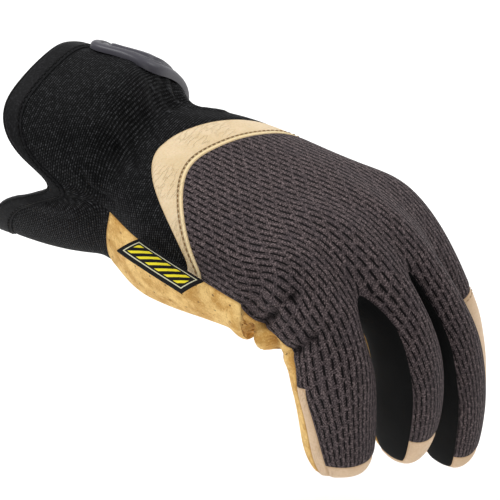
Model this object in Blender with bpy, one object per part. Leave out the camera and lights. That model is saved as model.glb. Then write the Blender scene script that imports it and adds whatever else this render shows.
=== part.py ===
"""A right-hand mechanic glove as it looks when worn, fingers curled down.

The glove hangs in its own frame: the origin is the middle of the cuff opening, +Y runs from the
cuff to the knuckles, +Z is the back of the hand and +X is the little-finger side. One control cage
describes the whole skin of the glove. It is smoothed, shaped with folds, and then cut along its
seams into panels, each a closed wall of its own thickness with a small gap to its neighbours.
"""

import math

import bmesh
import bpy
import numpy as np
from mathutils import Vector
from mathutils.bvhtree import BVHTree
from mathutils.kdtree import KDTree

# Driving sizes in metres
CUFF_LENGTH = 0.052
PALM_LENGTH = 0.100
HAND_WIDTH = 0.095
HAND_DEPTH = 0.052
CUFF_WIDTH = 0.080
CUFF_DEPTH = 0.070
FINGER_WIDTH = 0.025
FINGER_DEPTH = 0.030
FINGER_LENGTH = 0.110
THUMB_WIDTH = 0.028
WEB_DEPTH = 0.019
NOTCH_DEPTH = 0.037
BINDING_WIDTH = 0.009
TAB_LENGTH = 0.036
TAB_WIDTH = 0.044
TAB_THICKNESS = 0.0028
LABEL_LENGTH = 0.034
LABEL_WIDTH = 0.0130

# Walls and clearances in metres
MESH_WALL = 0.0015
KNIT_WALL = 0.0016
LEATHER_WALL = 0.0014
BINDING_WALL = 0.0026
LABEL_WALL = 0.0007
BINDING_LIFT = 0.0005
GAP = 0.0003
SEAT = 0.0006
LIFT_ROUNDS = 3

SMOOTHING = 1

# Sections across cuff and hand. "along" is a share of the cuff length up to the wrist, and after it
# one plus a share of the palm length. "half" is a share of half the width, "back" and "palm" are
# shares of half the depth above and below the middle, and "lift" is the middle's height.
SECTIONS = (
    # along, half, back, palm, lift, shift
    (0.00, 0.98, 0.92, 1.28, 0.04, -0.02),
    (0.45, 1.00, 0.98, 1.24, 0.04, -0.02),
    (0.76, 1.00, 1.06, 1.15, 0.04, -0.05),
    (0.91, 1.00, 1.00, 1.02, 0.03, -0.05),
    (1.00, 0.74, 0.80, 1.26, 0.02, 0.00),
    (1.12, 0.85, 0.86, 1.72, 0.01, 0.00),
    (1.30, 0.96, 0.88, 1.60, 0.00, 0.00),
    (1.50, 1.00, 0.88, 1.35, -0.05, 0.00),
    (1.66, 1.02, 0.94, 1.14, -0.09, 0.02),
    (1.80, 1.04, 1.02, 1.02, -0.13, 0.03),
)

# Columns round the hand, from the little-finger seam over the back to the thumb side and back under
# the palm. "across" is a share of the half width and "level" a share of the back or palm depth.
# "notch" is how deep the cuff notch cuts there. "outer" and "inner" are how far the two edges of the
# crescent are drawn from the seam line to their middle line.
COLUMNS = (
    # across, level, notch, outer, inner
    (1.00, 0.04, 1.00, 0.00, 0.00),
    (1.00, 0.32, 0.37, 0.10, 0.20),
    (0.93, 0.62, 0.09, 0.34, 0.42),
    (0.74, 0.86, -0.02, 0.80, 0.70),
    (0.48, 1.00, 0.00, 1.05, 0.96),
    (0.24, 1.05, 0.00, 1.06, 1.02),
    (-0.02, 1.07, 0.00, 1.00, 0.86),
    (-0.28, 1.05, 0.00, 0.86, 0.68),
    (-0.53, 0.90, 0.00, 0.74, 0.50),
    (-0.78, 0.68, 0.00, 0.52, 0.34),
    (-0.98, 0.20, 0.00, 0.00, 0.00),
    (-0.96, -0.45, 0.00, 0.00, 0.00),
    (-0.74, -0.90, 0.00, 0.00, 0.00),
    (-0.50, -1.02, 0.00, 0.00, 0.00),
    (-0.26, -1.00, -0.03, 0.00, 0.00),
    (0.00, -0.94, -0.10, 0.00, 0.00),
    (0.26, -0.98, -0.18, 0.00, 0.00),
    (0.52, -1.04, -0.24, 0.00, 0.00),
    (0.84, -0.92, -0.24, 0.00, 0.00),
    (1.02, -0.32, -0.04, 0.00, 0.00),
)
SEAM, THUMB_EDGE = 0, 10

# Rows of the cage from the rim to the last one before the knuckles: where each crosses the palm,
# the two side seams and the middle of the back, as "along" is given above.
ROWS = (
    # name, palm, seam, back
    ("rim", 0.00, 0.00, 0.00),
    ("hem", 0.18, 0.18, 0.18),
    ("cuff", 0.42, 0.42, 0.42),
    ("swell", 0.68, 0.68, 0.68),
    ("gather", 0.86, 0.86, 0.86),
    ("wrist", 0.95, 1.02, 1.00),
    ("heel", 1.12, 1.19, 1.04),
    ("thumb root", 1.24, 1.36, 1.08),
    ("crescent outer", 1.36, 1.53, 1.125),
    ("crescent inner", 1.47, 1.575, 1.315),
    ("thumb web", 1.57, 1.64, 1.47),
    ("palm", 1.67, 1.71, 1.62),
    ("pad", 1.77, 1.79, 1.76),
)
ROW = {row[0]: index for index, row in enumerate(ROWS)}
KNUCKLE, WEB = len(ROWS), len(ROWS) + 1

# Fingers, little finger first: knuckle place as shares of half the hand width, the palm length and
# the hand depth, bone lengths as shares of the finger length, and bends in degrees. The seams are
# how far past the first joint the back ends, and how far from the tip the end piece starts.
FINGERS = (
    # name, across, along, height, bones, width, depth, knuckle bend, middle bend, splay, seams
    ("pinky", 0.730, 0.915, 0.10, (0.332, 0.200, 0.310), 1.02, 1.03, 66.0, 10.5, 5.5, (-0.045, 1.1)),
    ("ring", 0.235, 0.975, 0.15, (0.375, 0.236, 0.440), 0.96, 1.02, 50.0, 27.6, -0.5, (-0.045, 2.7)),
    ("middle", -0.265, 1.085, 0.06, (0.460, 0.285, 0.390), 0.90, 0.88, 61.0, 20.8, -1.8, (-0.045, 1.3)),
    ("index", -0.765, 0.962, -0.11, (0.444, 0.262, 0.440), 0.91, 0.93, 64.0, 16.0, -3.5, (-0.005, 1.1)),
)
BEND_START = 0.35
TIP_BEND = 0.6
BASE_NARROW = 0.84
THUMB_SPREAD = 1.1

# Where the knuckle bends, how softly each joint bends and how fine the bend is worked out, and
# where the rings of a finger lie round its joints, all as shares of the finger length
KNUCKLE_BEND = (0.036, 0.045)
JOINT_SOFTNESS = 0.036
TIP_SOFTNESS = 0.027
BEND_SAMPLES = 400
RING_OFFSETS = (0.082, -0.018, 0.100)
ROUND_OFF = 0.30
FULLNESS = (1.00, 1.02, 1.00, 1.00, 0.96)
PINKY_PALM = 1.55
PINKY_FULLNESS = (1.12, 1.18, 1.10, 1.04, 0.97)

# The last two rows of the hand: distance from the knuckle as a share of the finger length, palm
# fullness and how far the little-finger seam drops there, in degrees
LAST_ROWS = (
    # distance, palm fullness, seam drop
    (-0.036, 1.80, 36.0),
    (WEB_DEPTH / FINGER_LENGTH, 1.45, 14.0),
)

# Places round a finger in degrees from the middle of its back, towards the little-finger side
ROUNDS = (
    (98.0, 76.0, 48.0, 0.0, -52.0, -132.0, 180.0, 140.0),
    (54.0, 0.0, -54.0, -132.0, 190.0, 156.0),
    (54.0, 0.0, -54.0, -132.0, 184.0, 146.0),
    (54.0, 0.0, -54.0, -132.0, 184.0, 146.0),
)
# The first two places of the little finger from ring to ring: its outer seam and the edge of the
# wedge of leather beside it
PINKY_SEAMS = (
    # outer seam, wedge
    (107.0, 99.0),
    (117.0, 114.4),
    (114.0, 110.5),
    (111.0, 100.0),
    (110.0, 89.0),
    (108.0, 84.0),
)
PINKY_WEDGE_START = 2
FINGER_COLUMNS = (
    (0, 1, 2, 3, 4, 17, 18, 19),
    (4, 5, 6, 15, 16, 17),
    (6, 7, 8, 13, 14, 15),
    (8, 9, 10, 11, 12, 13),
)

# Thumb route: shares of half the hand width, the palm length and the hand depth
THUMB_ROUTE = (
    # across, along, height, width
    (-1.16, 0.34, -0.56, 1.16),
    (-1.24, 0.47, -0.84, 1.08),
    (-1.23, 0.58, -1.12, 1.02),
    (-1.15, 0.67, -1.42, 1.02),
    (-1.05, 0.75, -1.72, 0.94),
    (-1.00, 0.80, -1.90, 0.72),
)

# Lobes and notches of the bunched palm leather at the little finger's base: where each starts and
# ends, as shares of half the hand width, along the palm and of the hand depth, then its width and
# height as shares of the finger width. They fade out towards the seams.
SEAM_HOLD = 0.18
LOBES = (
    # from (across, along, height), to (across, along, height), width, height
    ((1.02, 1.735, -0.36), (0.80, 1.735, -0.62), 0.20, 0.09),
    ((1.02, 1.782, -0.34), (0.80, 1.777, -0.62), 0.09, -0.18),
    ((0.98, 1.842, -0.40), (0.76, 1.842, -0.66), 0.19, 0.20),
    ((1.00, 1.900, -0.36), (0.80, 1.900, -0.62), 0.09, -0.20),
    ((0.97, 1.960, -0.50), (0.80, 1.960, -0.70), 0.16, 0.05),
)

# Folds pressed into or raised from the skin, as lines between cage places
FOLDS = (
    # from (column, row), to (column, row), width, height as shares of the finger width
    ((2.4, 13.0), (1.2, 13.9), 0.20, -0.07),
    ((3.0, 14.2), (1.0, 13.6), 0.20, 0.07),
    ((7.2, 3.6), (6.8, 5.0), 0.16, -0.08),
    ((8.2, 3.6), (7.7, 5.0), 0.16, -0.08),
    ((9.0, 3.6), (8.6, 5.0), 0.16, -0.08),
    ((3.4, 5.6), (2.2, 3.2), 0.30, -0.10),
    ((4.6, 5.0), (4.0, 3.4), 0.26, -0.08),
    ((17.5, 4.6), (17.0, 1.2), 0.28, -0.10),
    ((15.0, 4.6), (15.2, 1.2), 0.28, -0.10),
)

# The rubber tab: where its end starts, as a share of the cuff length and degrees from the middle of
# the back towards the thumb, and its thickness from the middle out as shares of the full one.
TAB_END_ALONG = 0.89
TAB_END_ANGLE = 19.0
TAB_SQUARENESS = 5.0
TAB_SIDES = 28
TAB_PROFILE = (
    # distance from the middle, thickness
    (0.00, 0.86),
    (0.22, 0.86),
    (0.42, 0.86),
    (0.62, 0.86),
    (0.70, 0.50),
    (0.82, 0.50),
    (0.88, 1.00),
    (0.97, 0.92),
    (1.00, 0.55),
)

# The side label: where it starts along the palm, and its slope out of the seam
LABEL_START = 0.24
LABEL_REACH = (0.93, -0.20, 0.26)
LABEL_DROOP = 0.16
LABEL_CLEARANCE = GAP * 1.5
LABEL_STEPS = (8, 4)

MATERIALS = {
    # name: colour, roughness
    "back_mesh": ((0.070, 0.052, 0.055), 0.85),
    "knit_black": ((0.010, 0.010, 0.011), 0.92),
    "hem_black": ((0.014, 0.014, 0.015), 0.75),
    "leather_gold": ((0.68, 0.40, 0.13), 0.70),
    "leather_beige": ((0.72, 0.55, 0.36), 0.55),
    "rubber_grey": ((0.055, 0.055, 0.065), 0.45),
    "woven_label": ((0.012, 0.012, 0.013), 0.80),
}

# Panels: wall, lift off the skin and material
PANELS = {
    "cuff_binding": (BINDING_WALL, BINDING_LIFT, "hem_black"),
    "cuff_back": (KNIT_WALL, 0.0, "knit_black"),
    "cuff_palm": (KNIT_WALL, 0.0, "knit_black"),
    "wrist_crescent": (LEATHER_WALL, 0.0, "leather_beige"),
    "back_panel": (MESH_WALL, 0.0, "back_mesh"),
    "palm_panel": (LEATHER_WALL, 0.0, "leather_gold"),
    "pinky_back": (MESH_WALL, 0.0, "back_mesh"),
    "ring_back": (MESH_WALL, 0.0, "back_mesh"),
    "middle_back": (MESH_WALL, 0.0, "back_mesh"),
    "index_back": (MESH_WALL, 0.0, "back_mesh"),
    "pinky_front": (LEATHER_WALL, 0.0, "leather_gold"),
    "ring_front": (LEATHER_WALL, 0.0, "leather_gold"),
    "middle_front": (LEATHER_WALL, 0.0, "leather_gold"),
    "index_front": (LEATHER_WALL, 0.0, "leather_gold"),
    "thumb_back": (LEATHER_WALL, 0.0, "leather_beige"),
    "thumb_front": (LEATHER_WALL, 0.0, "leather_gold"),
    "fourchette_pinky_ring": (KNIT_WALL, 0.0, "knit_black"),
    "fourchette_ring_middle": (KNIT_WALL, 0.0, "knit_black"),
    "fourchette_middle_index": (KNIT_WALL, 0.0, "knit_black"),
    "index_back_leather": (LEATHER_WALL, 0.0, "leather_beige"),
    "pinky_side_leather": (LEATHER_WALL, 0.0, "leather_beige"),
    "pinky_tip": (LEATHER_WALL, 0.0, "leather_beige"),
    "ring_tip": (LEATHER_WALL, 0.0, "leather_beige"),
    "middle_tip": (LEATHER_WALL, 0.0, "leather_beige"),
}
PANEL_NAMES = tuple(PANELS)


def clear_scene():
    for item in list(bpy.data.objects):
        bpy.data.objects.remove(item, do_unlink=True)


def make_materials():
    made = {}
    for name, (colour, roughness) in MATERIALS.items():
        material = bpy.data.materials.new(name)
        material.use_nodes = True
        shader = material.node_tree.nodes["Principled BSDF"]
        shader.inputs["Base Color"].default_value = (*colour, 1.0)
        shader.inputs["Roughness"].default_value = roughness
        material.diffuse_color = (*colour, 1.0)
        made[name] = material
    return made


def along_to_y(along):
    """Distance from the rim for a place given as cuff share, or one plus palm share."""
    return CUFF_LENGTH * min(along, 1.0) + PALM_LENGTH * max(along - 1.0, 0.0)


def section_at(along):
    """Half width, back height, palm depth, lift and shift of the hand at a place along it."""
    table = np.array(SECTIONS)
    half, back, palm, lift, shift = (
        np.interp(along, table[:, 0], table[:, column]) for column in range(1, 6)
    )
    cuffness = min(max((1.06 - along) / 0.12, 0.0), 1.0)
    width = HAND_WIDTH + (CUFF_WIDTH - HAND_WIDTH) * cuffness
    depth = HAND_DEPTH + (CUFF_DEPTH - HAND_DEPTH) * cuffness
    return width / 2 * half, depth / 2 * back, depth / 2 * palm, depth * lift, width / 2 * shift


def row_along(row, column):
    """Where a row of the cage crosses a column."""
    name, palm, seam, back = ROWS[row]
    _, _, notch, outer, inner = COLUMNS[column]
    if row <= ROW["gather"]:
        rim = NOTCH_DEPTH * notch / CUFF_LENGTH
        hem = rim + BINDING_WIDTH / CUFF_LENGTH
        if name == "rim":
            return rim
        if name == "hem":
            return hem
        first = ROWS[ROW["hem"]][1]
        return hem + (1.0 - hem) * (palm - first) / (1.0 - first)
    if column > THUMB_EDGE:
        return (palm + seam) / 2 if column == len(COLUMNS) - 1 else palm
    drawn = outer if row <= ROW["crescent outer"] else inner
    return seam + (back - seam) * drawn


def hand_point(row, column):
    along = row_along(row, column)
    half, back, palm, lift, shift = section_at(along)
    across, level = COLUMNS[column][:2]
    height = level * (back if level > 0 else palm)
    return np.array((across * half + shift, along_to_y(along), height + lift))


def settle(distance, middle, width):
    """A smooth step from zero to one."""
    return 1.0 / (1.0 + np.exp(-(distance - middle) / width))


def finger_frames(finger, stations):
    """Centre, side and back direction of a finger at distances from its knuckle."""
    _, across, along, height, bones, _, _, knuckle, middle, splay, _ = finger
    first, second, _ = (FINGER_LENGTH * share for share in bones)
    knuckle, middle, splay = (math.radians(angle) for angle in (knuckle, middle, splay))
    knuckle_at, knuckle_softness = (FINGER_LENGTH * share for share in KNUCKLE_BEND)

    def heading(distance):
        bend = knuckle * (BEND_START + (1.0 - BEND_START) * settle(distance, knuckle_at, knuckle_softness))
        bend += middle * settle(distance, first, JOINT_SOFTNESS * FINGER_LENGTH)
        bend += middle * TIP_BEND * settle(distance, first + second, TIP_SOFTNESS * FINGER_LENGTH)
        level = math.cos(splay)
        return np.stack((0.0 * bend + math.sin(splay), level * np.cos(bend), -level * np.sin(bend)), axis=-1)

    steps = np.linspace(min(0.0, *stations), max(0.0, *stations), BEND_SAMPLES)
    ways = heading(steps)
    runs = (ways[1:] + ways[:-1]) / 2 * (steps[1] - steps[0])
    line = np.concatenate((np.zeros((1, 3)), np.cumsum(runs, axis=0)))

    def centre(distance):
        return np.array([np.interp(distance, steps, line[:, axis]) for axis in range(3)])

    origin = np.array((across * HAND_WIDTH / 2, CUFF_LENGTH + along * PALM_LENGTH, height * HAND_DEPTH))
    frames = []
    for station in stations:
        forward = heading(np.float64(station))
        side = np.array((1.0, 0.0, 0.0))
        side = side - forward * side.dot(forward)
        side /= np.linalg.norm(side)
        frames.append((origin + centre(station) - centre(0.0), side, np.cross(side, forward)))
    return frames


def spread_factor(angles, index):
    """How far a cage point stands off the smooth skin that it shapes."""
    before = math.radians(angles[index] - angles[index - 1])
    after = math.radians(angles[(index + 1) % len(angles)] - angles[index])
    return 6.0 / (4.0 + math.cos(before) + math.cos(after))


def finger_ring(finger, frame, angles, swell=1.0, palm_swell=1.0, narrow=1.0):
    centre, side, back = frame
    width = FINGER_WIDTH / 2 * finger[5] * swell * narrow
    depth = FINGER_DEPTH / 2 * finger[6] * swell
    points = []
    for index, angle in enumerate(angles):
        turn = math.radians(angle)
        reach = spread_factor(angles, index)
        up = math.cos(turn) * depth * (palm_swell if math.cos(turn) < 0 else 1.0)
        points.append(centre + reach * (math.sin(turn) * width * side + up * back))
    return points


def finger_stations(finger):
    """Distances from the knuckle of the rings after the web, and how full each one is."""
    bones = [FINGER_LENGTH * share for share in finger[4]]
    first, second, total = bones[0], bones[0] + bones[1], sum(bones)
    round_off = FINGER_DEPTH * ROUND_OFF
    back_end, tip_start = finger[10]
    offsets = [FINGER_LENGTH * share for share in RING_OFFSETS]
    full = PINKY_FULLNESS if finger[0] == "pinky" else FULLNESS
    return (
        (first + FINGER_LENGTH * back_end, full[0]),
        (first + offsets[0], full[1]),
        (second + offsets[1], full[2]),
        (second + offsets[2], full[3]),
        (total - round_off * tip_start, full[4]),
        (total - round_off * 0.1, 0.66),
    )


class Cage:
    """Points and quads of the control cage, with the panel that each quad belongs to."""

    def __init__(self):
        self.points = []
        self.faces = []
        self.panels = []

    def point(self, place):
        self.points.append(np.asarray(place, dtype=float))
        return len(self.points) - 1

    def ring(self, places):
        return [self.point(place) for place in places]

    def face(self, corners, panel):
        self.faces.append(tuple(corners))
        self.panels.append(panel)


def hand_panel(row, column):
    """The panel of the quad after this row and column."""
    on_back = column < THUMB_EDGE
    if row < ROW["hem"]:
        return "cuff_binding"
    if row < ROW["wrist"]:
        return "cuff_back" if on_back else "cuff_palm"
    if not on_back:
        return "palm_panel"
    if row < ROW["crescent outer"]:
        return "cuff_back"
    if row < ROW["crescent inner"]:
        return "wrist_crescent"
    return "back_panel"


def in_thumb_hole(row, column):
    return ROW["heel"] <= row < ROW["crescent outer"] and THUMB_EDGE <= column < THUMB_EDGE + 2


def finger_panel(number, ring, side):
    """The panel of a finger quad, by finger, ring and place round it."""
    name = FINGERS[number][0]
    last = len(finger_stations(FINGERS[number])) - 1
    if number == 0:
        kind = ("outer", "outer", "back", "back", "inner", "palm", "palm", "palm")[side]
    else:
        kind = ("back", "back", "inner", "palm", "palm", "outer")[side]
    gussets = ("fourchette_pinky_ring", "fourchette_ring_middle", "fourchette_middle_index")
    if kind == "palm":
        return "palm_panel" if name == "pinky" and ring == 0 else name + "_front"
    if kind == "inner":
        return gussets[number] if number < 3 else "index_front"
    if kind == "outer" and number > 0:
        return gussets[number - 1]
    if name == "index":
        return "index_back_leather" if ring >= 1 else "index_back"
    if side == 0 and number == 0 and ring >= PINKY_WEDGE_START:
        return "pinky_side_leather"
    if ring >= last:
        return name + "_tip"
    return name + "_back"


def join_rings(cage, lower, upper, panel_of):
    count = len(lower)
    for side in range(count):
        after = (side + 1) % count
        corners = (lower[side], upper[side], upper[after], lower[after])
        cage.face(corners, panel_of(side))


def close_end(cage, ring, start, panel):
    """Closes a ring with a row of quads between its back and its palm half."""
    count = len(ring)
    turned = [ring[(start + index) % count] for index in range(count)]
    for index in range(count // 2 - 1):
        corners = (turned[index], turned[count - 1 - index], turned[count - 2 - index], turned[index + 1])
        cage.face(corners, panel)


def add_fingers(cage, knuckle_row, web_row):
    for number, finger in enumerate(FINGERS):
        angles = ROUNDS[number]
        stations = finger_stations(finger)
        frames = finger_frames(finger, [place for place, _ in stations])
        below = [web_row[column] for column in FINGER_COLUMNS[number]]
        for ring, ((_, swell), frame) in enumerate(zip(stations, frames)):
            narrow = BASE_NARROW if ring == 0 else 1.0
            if number == 0:
                angles = PINKY_SEAMS[ring] + ROUNDS[0][2:]
            above = cage.ring(finger_ring(finger, frame, angles, swell, 1.0, narrow))
            join_rings(cage, below, above, lambda side: finger_panel(number, ring, side))
            below = above
        end = "index_back_leather" if finger[0] == "index" else finger[0] + "_tip"
        close_end(cage, below, 0, end)


def knuckle_rows():
    """The last two rows of the hand, shared out among the fingers that grow from it."""
    rows = []
    for share, palm_swell, drop in LAST_ROWS:
        shared = {}
        for number, finger in enumerate(FINGERS):
            angles = list(ROUNDS[number])
            if number == 0:
                angles[0] += drop
                angles[1] += drop / 2
                angles[-1] += drop / 2
                palm_swell *= PINKY_PALM
            elif number == 1:
                palm_swell /= PINKY_PALM
            frame = finger_frames(finger, [share * FINGER_LENGTH])[0]
            points = finger_ring(finger, frame, angles, 1.0, palm_swell)
            for column, place in zip(FINGER_COLUMNS[number], points):
                shared.setdefault(column, []).append(place)
        rows.append([np.mean(shared[column], axis=0) for column in range(len(COLUMNS))])
    return rows


def add_thumb(cage, grid):
    low, high = ROW["heel"], ROW["crescent outer"]
    middle = low + 1
    left, centre, right = THUMB_EDGE, THUMB_EDGE + 1, THUMB_EDGE + 2
    hole = (
        (low, left), (low, centre), (low, right), (middle, right),
        (high, right), (high, centre), (high, left), (middle, left),
    )
    below = [grid[row][column] for row, column in hole]
    route = [
        np.array((across * HAND_WIDTH / 2, CUFF_LENGTH + along * PALM_LENGTH, height * HAND_DEPTH))
        for across, along, height, _ in THUMB_ROUTE
    ]
    start = np.mean([cage.points[index] for index in below], axis=0)
    upright = cage.points[below[7]] - start
    for index, (_, _, _, width) in enumerate(THUMB_ROUTE):
        before = route[index - 1] if index else start
        after = route[index + 1] if index + 1 < len(route) else route[index]
        forward = (after - before) / np.linalg.norm(after - before)
        upright = upright - forward * upright.dot(forward)
        upright /= np.linalg.norm(upright)
        side = np.cross(upright, forward)
        radius = THUMB_WIDTH / 2 * width * THUMB_SPREAD
        ring = []
        for step in range(8):
            turn = math.radians(45.0 * (step + 1))
            ring.append(route[index] + radius * (math.cos(turn) * upright + math.sin(turn) * side))
        above = cage.ring(ring)
        join_rings(cage, below, above, lambda step: "thumb_back" if step in (5, 6, 7, 0) else "thumb_front")
        below = above
    close_end(cage, below, 5, "thumb_front")


def build_cage():
    cage = Cage()
    grid = []
    for row in range(len(ROWS)):
        grid.append(cage.ring(hand_point(row, column) for column in range(len(COLUMNS))))
    for places in knuckle_rows():
        grid.append(cage.ring(places))
    for row in range(len(grid) - 1):
        for column in range(len(COLUMNS)):
            if in_thumb_hole(row, column):
                continue
            after = (column + 1) % len(COLUMNS)
            corners = (grid[row][column], grid[row + 1][column], grid[row + 1][after], grid[row][after])
            cage.face(corners, hand_panel(row, column))
    add_fingers(cage, grid[KNUCKLE], grid[WEB])
    add_thumb(cage, grid)
    return cage, grid


def cage_place(cage, grid, column, row):
    """A point of the cage at a broken column and row."""
    low_row, low_column = int(row), int(column)
    up, over = row - low_row, column - low_column
    count = len(COLUMNS)
    place = np.zeros(3)
    for row_step, row_share in ((0, 1.0 - up), (1, up)):
        for column_step, column_share in ((0, 1.0 - over), (1, over)):
            line = grid[min(low_row + row_step, len(grid) - 1)]
            corner = cage.points[line[(low_column + column_step) % count]]
            place = place + row_share * column_share * corner
    return place


def line_distance(points, start, end):
    run = end - start
    share = np.clip((points - start) @ run / run.dot(run), 0.0, 1.0)
    return np.linalg.norm(points - (start + share[:, None] * run), axis=1)


def smooth_skin(cage, level):
    """Points, normals, faces and panel numbers of the smoothed cage."""
    mesh = bpy.data.meshes.new("skin")
    mesh.from_pydata([tuple(place) for place in cage.points], [], cage.faces)
    for polygon, panel in zip(mesh.polygons, cage.panels):
        polygon.material_index = PANEL_NAMES.index(panel)
    skin = bpy.data.objects.new("skin", mesh)
    bpy.context.scene.collection.objects.link(skin)
    smoothing = skin.modifiers.new("smoothing", "SUBSURF")
    smoothing.levels = level
    smoothing.render_levels = level
    bpy.context.view_layer.update()
    smooth = bpy.data.meshes.new_from_object(skin.evaluated_get(bpy.context.evaluated_depsgraph_get()))
    points = np.array([tuple(vertex.co) for vertex in smooth.vertices])
    faces = np.array([tuple(polygon.vertices) for polygon in smooth.polygons])
    panels = np.array([polygon.material_index for polygon in smooth.polygons])
    bpy.data.objects.remove(skin, do_unlink=True)
    return points, faces, panels


def skin_normals(points, faces):
    corners = points[faces]
    across = np.cross(corners[:, 2] - corners[:, 0], corners[:, 3] - corners[:, 1])
    normals = np.zeros_like(points)
    for corner in range(4):
        np.add.at(normals, faces[:, corner], across)
    return normals / np.maximum(np.linalg.norm(normals, axis=1), 1e-12)[:, None]


def palm_share(points, faces, panels):
    """How freely each point of the palm leather may bunch up: none at its seams, fully away from them."""
    palm = panels == PANEL_NAMES.index("palm_panel")
    share = np.zeros(len(points))
    share[np.unique(faces[palm])] = 1.0
    held = np.unique(faces[~palm])
    tree = KDTree(len(held))
    for place in held:
        tree.insert(Vector(points[place]), int(place))
    tree.balance()
    for place in np.flatnonzero(share):
        distance = tree.find(Vector(points[place]))[2]
        share[place] = min(distance / (SEAM_HOLD * FINGER_WIDTH), 1.0)
    return share


def hand_place(across, along, height):
    return np.array((across * HAND_WIDTH / 2, along_to_y(along), height * HAND_DEPTH))


def press_folds(cage, grid, points, normals, free):
    for start, end, width, height in LOBES:
        distance = line_distance(points, hand_place(*start), hand_place(*end))
        shape = free * np.exp(-((distance / (width * FINGER_WIDTH)) ** 2))
        points = points + normals * (height * FINGER_WIDTH * shape)[:, None]
    for start, end, width, height in FOLDS:
        first = cage_place(cage, grid, *start)
        last = cage_place(cage, grid, *end)
        distance = line_distance(points, first, last)
        shape = np.exp(-((distance / (width * FINGER_WIDTH)) ** 2))
        points = points + normals * (height * FINGER_WIDTH * shape)[:, None]
    return points


def border_inset(points, faces, normals):
    """For each point on the border of these faces, the way into the panel, and a list of border edges."""
    edges = {}
    for face in faces:
        for corner in range(4):
            start, end = int(face[corner]), int(face[(corner + 1) % 4])
            edges[(start, end)] = True
    border = [edge for edge in edges if (edge[1], edge[0]) not in edges]
    inward = {}
    for start, end in border:
        run = points[end] - points[start]
        run = run / np.linalg.norm(run)
        for place in (start, end):
            inward.setdefault(place, []).append(np.cross(normals[place], run))
    ways = {}
    for place, parts in inward.items():
        total = np.sum([part / np.linalg.norm(part) for part in parts], axis=0)
        size = np.linalg.norm(total)
        spread = max(size / len(parts), 0.5)
        ways[place] = total / size / spread
    return ways, border


def panel_solid(name, points, faces, normals, material):
    """A closed wall over the panel's share of the skin."""
    wall, lift, _ = PANELS[name]
    ways, border = border_inset(points, faces, normals)
    used = sorted({int(corner) for face in faces for corner in face})
    number = {place: index for index, place in enumerate(used)}
    outer, inner = [], []
    for place in used:
        spot = points[place] + normals[place] * lift
        if place in ways:
            spot = spot + ways[place] * GAP / 2
        outer.append(spot)
        inner.append(spot - normals[place] * wall)
    count = len(used)
    solid_faces = []
    for face in faces:
        corners = [number[int(corner)] for corner in face]
        solid_faces.append(tuple(corners))
        solid_faces.append(tuple(count + corner for corner in reversed(corners)))
    for start, end in border:
        first, last = number[start], number[end]
        if start < end:
            solid_faces.append((last, first, count + last))
            solid_faces.append((first, count + first, count + last))
        else:
            solid_faces.append((last, first, count + first))
            solid_faces.append((last, count + first, count + last))
    return mesh_object(name, outer + inner, solid_faces, material)


def mesh_object(name, points, faces, material):
    mesh = bpy.data.meshes.new(name)
    mesh.from_pydata([tuple(place) for place in points], [], faces)
    mesh.materials.append(material)
    mesh.validate()
    shaped = bmesh.new()
    shaped.from_mesh(mesh)
    bmesh.ops.recalc_face_normals(shaped, faces=shaped.faces)
    shaped.to_mesh(mesh)
    shaped.free()
    mesh.shade_smooth()
    mesh.set_sharp_from_angle(angle=math.radians(50))
    made = bpy.data.objects.new(name, mesh)
    bpy.context.scene.collection.objects.link(made)
    return made


def skin_tree(points, faces):
    return BVHTree.FromPolygons([tuple(place) for place in points], [tuple(face) for face in faces.tolist()])


def cast(tree, start, way):
    spot, _, _, _ = tree.ray_cast(Vector(start), Vector(way))
    return np.array(spot)


def tab_outline():
    """Points round a square with softened corners, as shares of half the tab's length and width."""
    quarter = TAB_SIDES // 4
    places = []
    for side in range(TAB_SIDES):
        run = 2.0 * (side % quarter) / quarter - 1.0
        corner = ((1.0, run), (-run, 1.0), (-1.0, -run), (run, -1.0))[side // quarter]
        size = (abs(corner[0]) ** TAB_SQUARENESS + abs(corner[1]) ** TAB_SQUARENESS) ** (1 / TAB_SQUARENESS)
        places.append((corner[0] / size, corner[1] / size))
    return places


def tab_faces():
    """Faces of the rings that make up one side of the tab, from its middle point outwards."""
    faces = [(0, 1 + side, 1 + (side + 1) % TAB_SIDES) for side in range(TAB_SIDES)]
    for ring in range(len(TAB_PROFILE) - 2):
        low = 1 + ring * TAB_SIDES
        for side in range(TAB_SIDES):
            after = (side + 1) % TAB_SIDES
            faces.append((low + side, low + TAB_SIDES + side, low + TAB_SIDES + after, low + after))
    return faces


def closed_faces(faces, count):
    """The faces of a sheet, those of its other side and the wall round its edge."""
    edges = {(face[place - 1], face[place]) for face in faces for place in range(len(face))}
    border = [edge for edge in edges if (edge[1], edge[0]) not in edges]
    under = [tuple(count + corner for corner in reversed(face)) for face in faces]
    wall = [(end, start, count + start, count + end) for start, end in sorted(border)]
    return list(faces) + under + wall


def clear_of(tree, points, ways, faces):
    """Lifts a sheet along its ways until the middle of each face and edge clears the skin too."""
    points = [spot.copy() for spot in points]
    for _ in range(LIFT_ROUNDS):
        for face in faces:
            pairs = [(face[place - 1], face[place]) for place in range(len(face))]
            for group in pairs + [face]:
                middle = np.mean([points[corner] for corner in group], axis=0)
                way = np.mean([ways[corner] for corner in group], axis=0)
                low = cast(tree, middle + way * CUFF_WIDTH, -way)
                short = SEAT - (middle - low).dot(way)
                if short > 0:
                    for corner in group:
                        points[corner] = points[corner] + ways[corner] * short
    return points


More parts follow.
